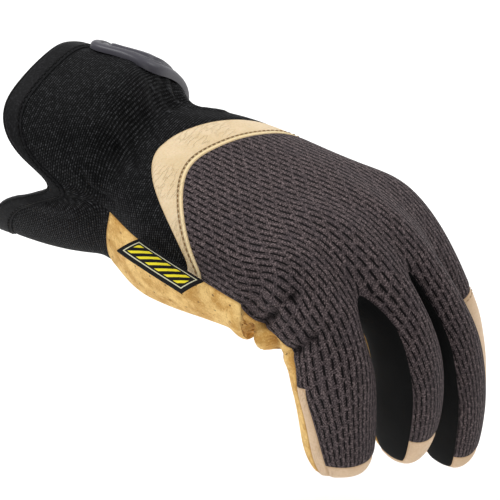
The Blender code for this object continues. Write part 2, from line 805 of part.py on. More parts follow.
def rubber_tab(tree, material):
    """The moulded tab, laid round the cuff: a raised middle, a groove and a rim."""
    reach = CUFF_DEPTH / 2
    spread = TAB_WIDTH / reach
    first = math.radians(TAB_END_ANGLE)
    inner, ways, heights = [], [], []
    for share, height in TAB_PROFILE:
        for along, across in tab_outline() if share else ((0.0, 0.0),):
            angle = first + spread * (across * share + 1.0) / 2
            place = CUFF_LENGTH * TAB_END_ALONG + TAB_LENGTH * (along * share - 1.0) / 2
            way = np.array((-math.sin(angle), 0.0, math.cos(angle)))
            axis = np.array((0.0, place, 0.0))
            inner.append(cast(tree, axis + way * CUFF_WIDTH, -way) + way * SEAT)
            ways.append(way)
            heights.append(height)
    faces = tab_faces()
    inner = clear_of(tree, inner, ways, faces)
    outer = [spot + way * TAB_THICKNESS * height for spot, way, height in zip(inner, ways, heights)]
    return mesh_object("rubber_tab", outer + inner, closed_faces(faces, len(inner)), material)


def side_label(tree, cage, grid, material):
    """The woven label: a short flap that stands out of the little-finger seam."""
    seam = np.array([cage_place(cage, grid, SEAM, row) for row in np.linspace(ROW["wrist"], ROW["pad"], 60)])
    start = CUFF_LENGTH + LABEL_START * PALM_LENGTH
    reach = np.array(LABEL_REACH)
    long_steps, wide_steps = LABEL_STEPS
    upper, lower = [], []
    for step in range(long_steps + 1):
        along = start + LABEL_LENGTH * step / long_steps
        height = np.interp(along, seam[:, 1], seam[:, 2])
        root = cast(tree, (HAND_WIDTH, along, height), (-1.0, 0.0, 0.0)) + reach * LABEL_CLEARANCE
        for wide in range(wide_steps + 1):
            share = wide / wide_steps
            spot = root + reach * LABEL_WIDTH * share
            spot[2] -= LABEL_DROOP * LABEL_WIDTH * share ** 2
            upper.append(spot + np.array((0.0, 0.0, LABEL_WALL / 2)))
            lower.append(spot - np.array((0.0, 0.0, LABEL_WALL / 2)))
    row = wide_steps + 1
    faces = []
    for step in range(long_steps):
        for wide in range(wide_steps):
            first = step * row + wide
            faces.append((first, first + 1, first + row + 1, first + row))
    return mesh_object("side_label", upper + lower, closed_faces(faces, len(upper)), material)


def main():
    clear_scene()
    materials = make_materials()
    cage, grid = build_cage()
    points, faces, panels = smooth_skin(cage, SMOOTHING)
    normals = skin_normals(points, faces)
    points = press_folds(cage, grid, points, normals, palm_share(points, faces, panels))
    normals = skin_normals(points, faces)
    for number, name in enumerate(PANEL_NAMES):
        panel_solid(name, points, faces[panels == number], normals, materials[PANELS[name][2]])
    tree = skin_tree(points, faces)
    rubber_tab(tree, materials["rubber_grey"])
    side_label(tree, cage, grid, materials["woven_label"])


main()
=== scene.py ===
"""Looks of the mechanic glove: the same panels as the CAD part, finer and with their finish.

The first half shapes the glove the way the part does, at a finer smoothing. The second half adds
seams, fine creases, stitches, materials, light and camera.
"""

import math
from collections import namedtuple

import bmesh
import bpy
import numpy as np
from mathutils import Matrix, Vector
from mathutils.bvhtree import BVHTree
from mathutils.kdtree import KDTree

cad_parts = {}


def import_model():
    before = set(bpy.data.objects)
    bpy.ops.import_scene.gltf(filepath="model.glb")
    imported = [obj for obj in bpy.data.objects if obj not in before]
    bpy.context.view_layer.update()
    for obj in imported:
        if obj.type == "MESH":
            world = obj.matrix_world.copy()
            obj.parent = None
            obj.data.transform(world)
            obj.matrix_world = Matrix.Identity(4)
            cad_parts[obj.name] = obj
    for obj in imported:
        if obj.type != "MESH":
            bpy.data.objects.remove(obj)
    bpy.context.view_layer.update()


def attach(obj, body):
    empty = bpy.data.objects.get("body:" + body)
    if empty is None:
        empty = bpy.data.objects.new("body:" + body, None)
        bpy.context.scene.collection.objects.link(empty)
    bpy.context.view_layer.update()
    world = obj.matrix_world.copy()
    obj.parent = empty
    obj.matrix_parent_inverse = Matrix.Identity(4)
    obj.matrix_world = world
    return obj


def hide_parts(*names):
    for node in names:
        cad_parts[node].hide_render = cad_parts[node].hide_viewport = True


# Driving sizes of the glove in metres
CUFF_LENGTH = 0.052
PALM_LENGTH = 0.100
HAND_WIDTH = 0.095
HAND_DEPTH = 0.052
CUFF_WIDTH = 0.080
CUFF_DEPTH = 0.070
FINGER_WIDTH = 0.025
FINGER_DEPTH = 0.030
FINGER_LENGTH = 0.110
THUMB_WIDTH = 0.028
WEB_DEPTH = 0.019
NOTCH_DEPTH = 0.037
BINDING_WIDTH = 0.009
TAB_LENGTH = 0.036
TAB_WIDTH = 0.044
TAB_THICKNESS = 0.0028
LABEL_LENGTH = 0.034
LABEL_WIDTH = 0.0130

# Where the cuff's width and depth have become the hand's, and the run before it over which they do,
# as "along" is given below
CUFF_END = 1.06
CUFF_FADE = 0.12

# Walls and clearances in metres
MESH_WALL = 0.0015
KNIT_WALL = 0.0016
LEATHER_WALL = 0.0014
BINDING_WALL = 0.0026
LABEL_WALL = 0.0007
BINDING_LIFT = 0.0005
GAP = 0.0003
SEAT = 0.0006
LIFT_ROUNDS = 3

SMOOTHING = 3

# Sections across cuff and hand. "along" is a share of the cuff length up to the wrist, and after it
# one plus a share of the palm length. "half" is a share of half the width, "back" and "palm" are
# shares of half the depth above and below the middle, and "lift" is the middle's height.
SECTIONS = (
    # along, half, back, palm, lift, shift
    (0.00, 0.98, 0.92, 1.28, 0.04, -0.02),
    (0.45, 1.00, 0.98, 1.24, 0.04, -0.02),
    (0.76, 1.00, 1.06, 1.15, 0.04, -0.05),
    (0.91, 1.00, 1.00, 1.02, 0.03, -0.05),
    (1.00, 0.74, 0.80, 1.26, 0.02, 0.00),
    (1.12, 0.85, 0.86, 1.72, 0.01, 0.00),
    (1.30, 0.96, 0.88, 1.60, 0.00, 0.00),
    (1.50, 1.00, 0.88, 1.35, -0.05, 0.00),
    (1.66, 1.02, 0.94, 1.14, -0.09, 0.02),
    (1.80, 1.04, 1.02, 1.02, -0.13, 0.03),
)

# Columns round the hand, from the little-finger seam over the back to the thumb side and back under
# the palm. "across" is a share of the half width and "level" a share of the back or palm depth.
# "notch" is how deep the cuff notch cuts there. "outer" and "inner" are how far the two edges of the
# crescent are drawn from the seam line to their middle line.
COLUMNS = (
    # across, level, notch, outer, inner
    (1.00, 0.04, 1.00, 0.00, 0.00),
    (1.00, 0.32, 0.37, 0.10, 0.20),
    (0.93, 0.62, 0.09, 0.34, 0.42),
    (0.74, 0.86, -0.02, 0.80, 0.70),
    (0.48, 1.00, 0.00, 1.05, 0.96),
    (0.24, 1.05, 0.00, 1.06, 1.02),
    (-0.02, 1.07, 0.00, 1.00, 0.86),
    (-0.28, 1.05, 0.00, 0.86, 0.68),
    (-0.53, 0.90, 0.00, 0.74, 0.50),
    (-0.78, 0.68, 0.00, 0.52, 0.34),
    (-0.98, 0.20, 0.00, 0.00, 0.00),
    (-0.96, -0.45, 0.00, 0.00, 0.00),
    (-0.74, -0.90, 0.00, 0.00, 0.00),
    (-0.50, -1.02, 0.00, 0.00, 0.00),
    (-0.26, -1.00, -0.03, 0.00, 0.00),
    (0.00, -0.94, -0.10, 0.00, 0.00),
    (0.26, -0.98, -0.18, 0.00, 0.00),
    (0.52, -1.04, -0.24, 0.00, 0.00),
    (0.84, -0.92, -0.24, 0.00, 0.00),
    (1.02, -0.32, -0.04, 0.00, 0.00),
)
SEAM, THUMB_EDGE = 0, 10

# Rows of the cage from the rim to the last one before the knuckles: where each crosses the palm,
# the two side seams and the middle of the back, as "along" is given above.
ROWS = (
    # name, palm, seam, back
    ("rim", 0.00, 0.00, 0.00),
    ("hem", 0.18, 0.18, 0.18),
    ("cuff", 0.42, 0.42, 0.42),
    ("swell", 0.68, 0.68, 0.68),
    ("gather", 0.86, 0.86, 0.86),
    ("wrist", 0.95, 1.02, 1.00),
    ("heel", 1.12, 1.19, 1.04),
    ("thumb root", 1.24, 1.36, 1.08),
    ("crescent outer", 1.36, 1.53, 1.125),
    ("crescent inner", 1.47, 1.575, 1.315),
    ("thumb web", 1.57, 1.64, 1.47),
    ("palm", 1.67, 1.71, 1.62),
    ("pad", 1.77, 1.79, 1.76),
)
ROW = {row[0]: index for index, row in enumerate(ROWS)}

# Fingers, little finger first: knuckle place as shares of half the hand width, the palm length and
# the hand depth, bone lengths as shares of the finger length, and bends in degrees. The seams are
# how far past the first joint the back ends, and how far from the tip the end piece starts.
Finger = namedtuple("Finger", "name across along height bones width depth knuckle middle splay seams")
FINGERS = (
    Finger("pinky", 0.730, 0.915, 0.10, (0.332, 0.200, 0.310), 1.02, 1.03, 66.0, 10.5, 5.5, (-0.045, 1.1)),
    Finger("ring", 0.235, 0.975, 0.15, (0.375, 0.236, 0.440), 0.96, 1.02, 50.0, 27.6, -0.5, (-0.045, 2.7)),
    Finger("middle", -0.265, 1.085, 0.06, (0.460, 0.285, 0.390), 0.90, 0.88, 61.0, 20.8, -1.8, (-0.045, 1.3)),
    Finger("index", -0.765, 0.962, -0.11, (0.444, 0.262, 0.440), 0.91, 0.93, 64.0, 16.0, -3.5, (-0.005, 1.1)),
)
BEND_START = 0.35
TIP_BEND = 0.6
BASE_NARROW = 0.84
THUMB_SPREAD = 1.1

# Where the knuckle bends, how softly each joint bends and how fine the bend is worked out, and
# where the rings of a finger lie round its joints, all as shares of the finger length
KNUCKLE_BEND = (0.036, 0.045)
JOINT_SOFTNESS = 0.036
TIP_SOFTNESS = 0.027
BEND_SAMPLES = 400
RING_OFFSETS = (0.082, -0.018, 0.100)
ROUND_OFF = 0.30
END_PLACE = 0.1
END_FULLNESS = 0.66
FULLNESS = (1.00, 1.02, 1.00, 1.00, 0.96)
PINKY_PALM = 1.55
PINKY_FULLNESS = (1.12, 1.18, 1.10, 1.04, 0.97)

# The last two rows of the hand: distance from the knuckle as a share of the finger length, palm
# fullness and how far the little-finger seam drops there, in degrees
LAST_ROWS = (
    # distance, palm fullness, seam drop
    (-0.036, 1.80, 36.0),
    (WEB_DEPTH / FINGER_LENGTH, 1.45, 14.0),
)

# Places round a finger in degrees from the middle of its back, towards the little-finger side
ROUNDS = (
    (98.0, 76.0, 48.0, 0.0, -52.0, -132.0, 180.0, 140.0),
    (54.0, 0.0, -54.0, -132.0, 190.0, 156.0),
    (54.0, 0.0, -54.0, -132.0, 184.0, 146.0),
    (54.0, 0.0, -54.0, -132.0, 184.0, 146.0),
)
# The first two places of the little finger from ring to ring: its outer seam and the edge of the
# wedge of leather beside it
PINKY_SEAMS = (
    # outer seam, wedge
    (107.0, 99.0),
    (117.0, 114.4),
    (114.0, 110.5),
    (111.0, 100.0),
    (110.0, 89.0),
    (108.0, 84.0),
)
PINKY_WEDGE_START = 2
FINGER_COLUMNS = (
    (0, 1, 2, 3, 4, 17, 18, 19),
    (4, 5, 6, 15, 16, 17),
    (6, 7, 8, 13, 14, 15),
    (8, 9, 10, 11, 12, 13),
)

# Thumb route: shares of half the hand width, the palm length and the hand depth
THUMB_ROUTE = (
    # across, along, height, width
    (-1.16, 0.34, -0.56, 1.16),
    (-1.24, 0.47, -0.84, 1.08),
    (-1.23, 0.58, -1.12, 1.02),
    (-1.15, 0.67, -1.42, 1.02),
    (-1.05, 0.75, -1.72, 0.94),
    (-1.00, 0.80, -1.90, 0.72),
)

# Lobes and notches of the bunched palm leather at the little finger's base: where each starts and
# ends, as shares of half the hand width, along the palm and of the hand depth, then its width and
# height as shares of the finger width. They fade out towards the seams.
SEAM_HOLD = 0.18
LOBES = (
    # from (across, along, height), to (across, along, height), width, height
    ((1.02, 1.735, -0.36), (0.80, 1.735, -0.62), 0.20, 0.09),
    ((1.02, 1.782, -0.34), (0.80, 1.777, -0.62), 0.09, -0.18),
    ((0.98, 1.842, -0.40), (0.76, 1.842, -0.66), 0.19, 0.20),
    ((1.00, 1.900, -0.36), (0.80, 1.900, -0.62), 0.09, -0.20),
    ((0.97, 1.960, -0.50), (0.80, 1.960, -0.70), 0.16, 0.05),
)

# Folds pressed into or raised from the skin, as lines between cage places
FOLDS = (
    # from (column, row), to (column, row), width, height as shares of the finger width
    ((2.4, 13.0), (1.2, 13.9), 0.20, -0.07),
    ((3.0, 14.2), (1.0, 13.6), 0.20, 0.07),
    ((7.2, 3.6), (6.8, 5.0), 0.16, -0.08),
    ((8.2, 3.6), (7.7, 5.0), 0.16, -0.08),
    ((9.0, 3.6), (8.6, 5.0), 0.16, -0.08),
    ((3.4, 5.6), (2.2, 3.2), 0.30, -0.10),
    ((4.6, 5.0), (4.0, 3.4), 0.26, -0.08),
    ((17.5, 4.6), (17.0, 1.2), 0.28, -0.10),
    ((15.0, 4.6), (15.2, 1.2), 0.28, -0.10),
)

# The rubber tab: where its end starts, as a share of the cuff length and degrees from the middle of
# the back towards the thumb, and its thickness from the middle out as shares of the full one.
TAB_END_ALONG = 0.89
TAB_END_ANGLE = 19.0
TAB_SQUARENESS = 5.0
TAB_SIDES = 84
EVENING_ROUNDS = 30
TAB_PROFILE = (
    # distance from the middle, thickness
    (0.00, 0.86),
    (0.20, 0.86),
    (0.40, 0.86),
    (0.60, 0.86),
    (0.655, 0.84),
    (0.675, 0.50),
    (0.70, 0.48),
    (0.715, 0.70),
    (0.80, 0.72),
    (0.815, 0.50),
    (0.84, 0.48),
    (0.86, 0.98),
    (0.90, 1.00),
    (0.96, 0.95),
    (0.99, 0.75),
    (1.00, 0.45),
)

# The side label: where it starts along the palm, and its slope out of the seam
LABEL_START = 0.24
LABEL_REACH = (0.93, -0.20, 0.26)
LABEL_DROOP = 0.16
LABEL_CLEARANCE = GAP * 1.5
LABEL_STEPS = (8, 4)

# The strips between neighbouring fingers
STRIPS = ("fourchette_pinky_ring", "fourchette_ring_middle", "fourchette_middle_index")

# The beige leather of the fingers
BEIGE_ENDS = ("index_back_leather", "pinky_side_leather", "pinky_tip", "ring_tip", "middle_tip")

# Panels: wall, lift off the skin and material
PANELS = {
    "cuff_binding": (BINDING_WALL, BINDING_LIFT, "hem_black"),
    "cuff_back": (KNIT_WALL, 0.0, "knit_black"),
    "cuff_palm": (KNIT_WALL, 0.0, "knit_black"),
    "wrist_crescent": (LEATHER_WALL, 0.0, "leather_beige"),
    "back_panel": (MESH_WALL, 0.0, "back_mesh"),
    "palm_panel": (LEATHER_WALL, 0.0, "leather_gold"),
    "thumb_back": (LEATHER_WALL, 0.0, "leather_beige"),
    "thumb_front": (LEATHER_WALL, 0.0, "leather_gold"),
    **dict.fromkeys(STRIPS, (KNIT_WALL, 0.0, "knit_black")),
    **dict.fromkeys(BEIGE_ENDS, (LEATHER_WALL, 0.0, "leather_beige")),
}
PANEL_NAMES = tuple(PANELS)


def along_to_y(along):
    """Distance from the rim for a place given as cuff share, or one plus palm share."""
    return CUFF_LENGTH * min(along, 1.0) + PALM_LENGTH * max(along - 1.0, 0.0)


def section_at(along):
    """Half width, back height, palm depth, lift and shift of the hand at a place along it."""
    table = np.array(SECTIONS)
    half, back, palm, lift, shift = (
        np.interp(along, table[:, 0], table[:, column]) for column in range(1, 6)
    )
    cuffness = min(max((CUFF_END - along) / CUFF_FADE, 0.0), 1.0)
    width = HAND_WIDTH + (CUFF_WIDTH - HAND_WIDTH) * cuffness
    depth = HAND_DEPTH + (CUFF_DEPTH - HAND_DEPTH) * cuffness
    return width / 2 * half, depth / 2 * back, depth / 2 * palm, depth * lift, width / 2 * shift


def row_along(row, column):
    """Where a row of the cage crosses a column."""
    name, palm, seam, back = ROWS[row]
    _, _, notch, outer, inner = COLUMNS[column]
    if row <= ROW["gather"]:
        rim = NOTCH_DEPTH * notch / CUFF_LENGTH
        hem = rim + BINDING_WIDTH / CUFF_LENGTH
        if name == "rim":
            return rim
        if name == "hem":
            return hem
        first = ROWS[ROW["hem"]][1]
        return hem + (1.0 - hem) * (palm - first) / (1.0 - first)
    if column > THUMB_EDGE:
        return (palm + seam) / 2 if column == len(COLUMNS) - 1 else palm
    drawn = outer if row <= ROW["crescent outer"] else inner
    return seam + (back - seam) * drawn


def hand_point(row, column):
    """A point of the hand's skin where a row crosses a column."""
    along = row_along(row, column)
    half, back, palm, lift, shift = section_at(along)
    across, level = COLUMNS[column][:2]
    height = level * (back if level > 0 else palm)
    return np.array((across * half + shift, along_to_y(along), height + lift))


def palm_place(across, along, height):
    """A place given as shares of half the hand width, the palm length and the hand depth."""
    return np.array((across * HAND_WIDTH / 2, CUFF_LENGTH + along * PALM_LENGTH, height * HAND_DEPTH))


def settle(distance, middle, width):
    """A smooth step from zero to one."""
    return 1.0 / (1.0 + np.exp(-(distance - middle) / width))


def finger_frames(finger, stations):
    """Centre, side and back direction of a finger at distances from its knuckle."""
    first, second, _ = (FINGER_LENGTH * share for share in finger.bones)
    bends = (finger.knuckle, finger.middle, finger.splay)
    knuckle, middle, splay = (math.radians(angle) for angle in bends)
    knuckle_at, knuckle_softness = (FINGER_LENGTH * share for share in KNUCKLE_BEND)

    def heading(distance):
        bend = knuckle * (BEND_START + (1.0 - BEND_START) * settle(distance, knuckle_at, knuckle_softness))
        bend += middle * settle(distance, first, JOINT_SOFTNESS * FINGER_LENGTH)
        bend += middle * TIP_BEND * settle(distance, first + second, TIP_SOFTNESS * FINGER_LENGTH)
        level = math.cos(splay)
        return np.stack((0.0 * bend + math.sin(splay), level * np.cos(bend), -level * np.sin(bend)), axis=-1)

    steps = np.linspace(min(0.0, *stations), max(0.0, *stations), BEND_SAMPLES)
    ways = heading(steps)
    runs = (ways[1:] + ways[:-1]) / 2 * (steps[1] - steps[0])
    line = np.concatenate((np.zeros((1, 3)), np.cumsum(runs, axis=0)))

    def centre(distance):
        return np.array([np.interp(distance, steps, line[:, axis]) for axis in range(3)])

    origin = palm_place(finger.across, finger.along, finger.height)
    frames = []
    for station in stations:
        forward = heading(np.float64(station))
        side = np.array((1.0, 0.0, 0.0))
        side = side - forward * side.dot(forward)
        side /= np.linalg.norm(side)
        frames.append((origin + centre(station) - centre(0.0), side, np.cross(side, forward)))
    return frames


def spread_factor(angles, index):
    """How far a cage point stands off the smooth skin that it shapes."""
    before = math.radians(angles[index] - angles[index - 1])
    after = math.radians(angles[(index + 1) % len(angles)] - angles[index])
    return 6.0 / (4.0 + math.cos(before) + math.cos(after))


def finger_ring(finger, frame, angles, swell=1.0, palm_swell=1.0, narrow=1.0):
    """A ring of points round a finger, fuller or narrower by these shares."""
    centre, side, back = frame
    width = FINGER_WIDTH / 2 * finger.width * swell * narrow
    depth = FINGER_DEPTH / 2 * finger.depth * swell
    points = []
    for index, angle in enumerate(angles):
        turn = math.radians(angle)
        reach = spread_factor(angles, index)
        up = math.cos(turn) * depth * (palm_swell if math.cos(turn) < 0 else 1.0)
        points.append(centre + reach * (math.sin(turn) * width * side + up * back))
    return points


def finger_stations(finger):
    """Distances from the knuckle of the rings after the web, and how full each one is."""
    bones = [FINGER_LENGTH * share for share in finger.bones]
    first, second, total = bones[0], bones[0] + bones[1], sum(bones)
    round_off = FINGER_DEPTH * ROUND_OFF
    back_end, tip_start = finger.seams
    offsets = [FINGER_LENGTH * share for share in RING_OFFSETS]
    full = PINKY_FULLNESS if finger.name == "pinky" else FULLNESS
    return (
        (first + FINGER_LENGTH * back_end, full[0]),
        (first + offsets[0], full[1]),
        (second + offsets[1], full[2]),
        (second + offsets[2], full[3]),
        (total - round_off * tip_start, full[4]),
        (total - round_off * END_PLACE, END_FULLNESS),
    )


class Cage:
    """Points and quads of the control cage, with the panel that each quad belongs to."""

    def __init__(self):
        self.points = []
        self.runs = []
        self.faces = []
        self.panels = []
        self.flats = []

    def point(self, place, run):
        self.points.append(np.asarray(place, dtype=float))
        self.runs.append(run)
        return len(self.points) - 1

    def ring(self, places, run=None):
        return [self.point(place, place[1] if run is None else run) for place in places]

    def face(self, corners, panel, rounds):
        self.faces.append(tuple(corners))
        self.panels.append(panel)
        self.flats.append([(across, self.runs[corner]) for corner, across in zip(corners, rounds)])


def hand_panel(row, column):
    """The panel of the quad after this row and column."""
    on_back = column < THUMB_EDGE
    if row < ROW["hem"]:
        return "cuff_binding"
    if row < ROW["wrist"]:
        return "cuff_back" if on_back else "cuff_palm"
    if not on_back:
        return "palm_panel"
    if row < ROW["crescent outer"]:
        return "cuff_back"
    if row < ROW["crescent inner"]:
        return "wrist_crescent"
    return "back_panel"


def in_thumb_hole(row, column):
    return ROW["heel"] <= row < ROW["crescent outer"] and THUMB_EDGE <= column < THUMB_EDGE + 2


def finger_panel(number, ring, side):
    """The panel of a finger quad, by finger, ring and place round it."""
    name = FINGERS[number].name
    last = len(finger_stations(FINGERS[number])) - 1
    if number == 0:
        kind = ("outer", "outer", "back", "back", "inner", "palm", "palm", "palm")[side]
    else:
        kind = ("back", "back", "inner", "palm", "palm", "outer")[side]
    if kind == "palm":
        return "palm_panel"
    if kind == "inner":
        return STRIPS[number] if number < len(STRIPS) else "palm_panel"
    if kind == "outer" and number > 0:
        return STRIPS[number - 1]
    if name == "index":
        return "index_back_leather" if ring >= 1 else "back_panel"
    if side == 0 and number == 0 and ring >= PINKY_WEDGE_START:
        return "pinky_side_leather"
    if ring >= last:
        return name + "_tip"
    return "back_panel"


def join_rings(cage, lower, upper, rounds, panel_of, above=None):
    """Quads between two rings; the upper ring may have flat places of its own."""
    count = len(lower)
    above = above or rounds
    for side in range(count):
        after = (side + 1) % count
        corners = (lower[side], upper[side], upper[after], lower[after])
        cage.face(corners, panel_of(side), (rounds[side], above[side], above[side + 1], rounds[side + 1]))


def close_end(cage, ring, start, panel):
    """Closes a ring with a row of quads between its back and its palm half."""
    count = len(ring)
    turned = [ring[(start + index) % count] for index in range(count)]
    for index in range(count // 2 - 1):
        corners = (turned[index], turned[count - 1 - index], turned[count - 2 - index], turned[index + 1])
        rounds = [(cage.points[corner][0] - cage.points[ring[0]][0]) for corner in corners]
        cage.face(corners, panel, rounds)


def hand_rounds():
    """How far round the hand each column lies, on a row near the knuckles."""
    line = [hand_point(ROW["palm"], column % len(COLUMNS)) for column in range(len(COLUMNS) + 1)]
    steps = [np.linalg.norm(line[index + 1] - line[index]) for index in range(len(COLUMNS))]
    return np.concatenate(([0.0], np.cumsum(steps)))


def finger_rounds(number, ring):
    """The same for the sides of a finger: as on the hand over its back, and on from there."""
    columns = FINGER_COLUMNS[number]
    hand = hand_rounds()
    rounds = [hand[columns[0]]]
    for side in range(len(columns)):
        after = columns[(side + 1) % len(columns)]
        if after == columns[side] + 1 and after < THUMB_EDGE:
            rounds.append(hand[after])
        else:
            rounds.append(rounds[-1] + np.linalg.norm(ring[(side + 1) % len(ring)] - ring[side]))
    return rounds


def add_fingers(cage, web_row):
    """The rings of each finger, grown from its share of the last row of the hand."""
    for number, finger in enumerate(FINGERS):
        angles = ROUNDS[number]
        stations = finger_stations(finger)
        frames = finger_frames(finger, [place for place, _ in stations])
        below = [web_row[column] for column in FINGER_COLUMNS[number]]
        start = CUFF_LENGTH + finger.along * PALM_LENGTH
        rounds = finger_rounds(number, finger_ring(finger, frames[0], angles))
        middle = rounds[2] if number == 0 else rounds[1]
        lower = rounds
        for ring, ((station, swell), frame) in enumerate(zip(stations, frames)):
            narrow = BASE_NARROW if ring == 0 else 1.0
            if number == 0:
                angles = PINKY_SEAMS[ring] + ROUNDS[0][2:]
            above = cage.ring(finger_ring(finger, frame, angles, swell, 1.0, narrow), start + station)
            growth = 1.0 + FLAT_GROWTH * min(ring / 2, 1.0)
            spread = [middle + (place - middle) * growth for place in rounds]
            join_rings(cage, below, above, lower, lambda side: finger_panel(number, ring, side), spread)
            below, lower = above, spread
        end = "index_back_leather" if finger.name == "index" else finger.name + "_tip"
        close_end(cage, below, 0, end)


def knuckle_rows():
    """The last two rows of the hand, shared out among the fingers that grow from it."""
    rows, runs = [], []
    for share, palm_swell, drop in LAST_ROWS:
        shared = {}
        for number, finger in enumerate(FINGERS):
            angles = list(ROUNDS[number])
            if number == 0:
                angles[0] += drop
                angles[1] += drop / 2
                angles[-1] += drop / 2
                palm_swell *= PINKY_PALM
            elif number == 1:
                palm_swell /= PINKY_PALM
            frame = finger_frames(finger, [share * FINGER_LENGTH])[0]
            points = finger_ring(finger, frame, angles, 1.0, palm_swell)
            run = CUFF_LENGTH + finger.along * PALM_LENGTH + share * FINGER_LENGTH
            for column, place in zip(FINGER_COLUMNS[number], points):
                shared.setdefault(column, []).append((*place, run))
        means = [np.mean(shared[column], axis=0) for column in range(len(COLUMNS))]
        rows.append([mean[:3] for mean in means])
        runs.append([mean[3] for mean in means])
    return rows, runs


def thumb_panel(side):
    return "thumb_back" if side in (5, 6, 7, 0) else "thumb_front"


def add_thumb(cage, grid):
    """The rings of the thumb, grown from the hole at the hand's thumb edge."""
    low, high = ROW["heel"], ROW["crescent outer"]
    middle = low + 1
    left, centre, right = THUMB_EDGE, THUMB_EDGE + 1, THUMB_EDGE + 2
    hole = (
        (low, left), (low, centre), (low, right), (middle, right),
        (high, right), (high, centre), (high, left), (middle, left),
    )
    below = [grid[row][column] for row, column in hole]
    route = [palm_place(*place) for *place, _ in THUMB_ROUTE]
    start = np.mean([cage.points[index] for index in below], axis=0)
    upright = cage.points[below[7]] - start
    for index, (_, _, _, width) in enumerate(THUMB_ROUTE):
        before = route[index - 1] if index else start
        after = route[index + 1] if index + 1 < len(route) else route[index]
        forward = (after - before) / np.linalg.norm(after - before)
        upright = upright - forward * upright.dot(forward)
        upright /= np.linalg.norm(upright)
        side = np.cross(upright, forward)
        radius = THUMB_WIDTH / 2 * width * THUMB_SPREAD
        ring = []
        for step in range(len(hole)):
            turn = 2 * math.pi * (step + 1) / len(hole)
            ring.append(route[index] + radius * (math.cos(turn) * upright + math.sin(turn) * side))
        above = cage.ring(ring, CUFF_LENGTH + THUMB_WIDTH * index)
        rounds = [THUMB_WIDTH * 0.4 * step for step in range(len(hole) + 1)]
        join_rings(cage, below, above, rounds, thumb_panel)
        below = above
    close_end(cage, below, 5, "thumb_front")


def build_cage():
    """The whole control cage, and the numbers of the hand's points by row and column."""
    cage = Cage()
    grid = []
    for row in range(len(ROWS)):
        grid.append(cage.ring(hand_point(row, column) for column in range(len(COLUMNS))))
    for places, runs in zip(*knuckle_rows()):
        grid.append([cage.point(place, run) for place, run in zip(places, runs)])
    hand = hand_rounds()
    for row in range(len(grid) - 1):
        for column in range(len(COLUMNS)):
            if in_thumb_hole(row, column):
                continue
            after = (column + 1) % len(COLUMNS)
            corners = (grid[row][column], grid[row + 1][column], grid[row + 1][after], grid[row][after])
            rounds = (hand[column], hand[column], hand[column + 1], hand[column + 1])
            cage.face(corners, hand_panel(row, column), rounds)
    add_fingers(cage, grid[-1])
    add_thumb(cage, grid)
    return cage, grid


def cage_place(cage, grid, column, row):
    """A point of the cage at a broken column and row."""
    low_row, low_column = int(row), int(column)
    up, over = row - low_row, column - low_column
    count = len(COLUMNS)
    place = np.zeros(3)
    for row_step, row_share in ((0, 1.0 - up), (1, up)):
        for column_step, column_share in ((0, 1.0 - over), (1, over)):
            line = grid[min(low_row + row_step, len(grid) - 1)]
            corner = cage.points[line[(low_column + column_step) % count]]
            place = place + row_share * column_share * corner
    return place


def ridge(points, start, end, width):
    """How much of a ridge along a line each point has: all of it on the line, none far away."""
    run = end - start
    share = np.clip((points - start) @ run / run.dot(run), 0.0, 1.0)
    distance = np.linalg.norm(points - (start + share[:, None] * run), axis=1)
    return np.exp(-((distance / width) ** 2))


def distances_to(points, others):
    """Distance of each point from the nearest of the others."""
    tree = KDTree(len(others))
    for index, place in enumerate(others):
        tree.insert(Vector(place), index)
    tree.balance()
    return np.array([tree.find(Vector(place))[2] for place in points])


def raw_mesh(name, points, faces):
    mesh = bpy.data.meshes.new(name)
    mesh.from_pydata([tuple(place) for place in points], [], faces)
    return mesh


def linked(name, data):
    """A new object of this data, in the scene."""
    made = bpy.data.objects.new(name, data)
    bpy.context.scene.collection.objects.link(made)
    return made


def read(items, key, width, kind):
    """One value of each of these mesh items, as an array."""
    values = np.empty(len(items) * width, dtype=kind)
    items.foreach_get(key, values)
    return values


def smooth_skin(cage, level):
    """Points, faces, panel numbers and flat places of the smoothed cage."""
    mesh = raw_mesh("skin", cage.points, cage.faces)
    flat = mesh.uv_layers.new(name="flat")
    flat.data.foreach_set("uv", np.array(cage.flats, dtype=np.float32).ravel())
    for polygon, panel in zip(mesh.polygons, cage.panels):
        polygon.material_index = PANEL_NAMES.index(panel)
    skin = linked("skin", mesh)
    smoothing = skin.modifiers.new("smoothing", "SUBSURF")
    smoothing.levels = level
    smoothing.render_levels = level
    bpy.context.view_layer.update()
    smooth = bpy.data.meshes.new_from_object(skin.evaluated_get(bpy.context.evaluated_depsgraph_get()))
    points = read(smooth.vertices, "co", 3, float)
    faces = read(smooth.loops, "vertex_index", 1, np.int32)
    panels = read(smooth.polygons, "material_index", 1, np.int32)
    flats = read(smooth.uv_layers["flat"].data, "uv", 2, float)
    bpy.data.objects.remove(skin, do_unlink=True)
    return points.reshape(-1, 3), faces.reshape(-1, 4), panels, flats.reshape(-1, 4, 2)


def skin_normals(points, faces):
    """The way out of the skin at each point."""
    corners = points[faces]
    across = np.cross(corners[:, 2] - corners[:, 0], corners[:, 3] - corners[:, 1])
    normals = np.zeros_like(points)
    for corner in range(4):
        np.add.at(normals, faces[:, corner], across)
    return normals / np.maximum(np.linalg.norm(normals, axis=1), 1e-12)[:, None]


def palm_share(points, faces, panels):
    """How freely the palm leather bunches up at each point: not at its seams, fully away from them."""
    palm = panels == PANEL_NAMES.index("palm_panel")
    share = np.zeros(len(points))
    share[np.unique(faces[palm])] = 1.0
    held = points[np.unique(faces[~palm])]
    free = np.flatnonzero(share)
    share[free] = np.minimum(distances_to(points[free], held) / (SEAM_HOLD * FINGER_WIDTH), 1.0)
    return share


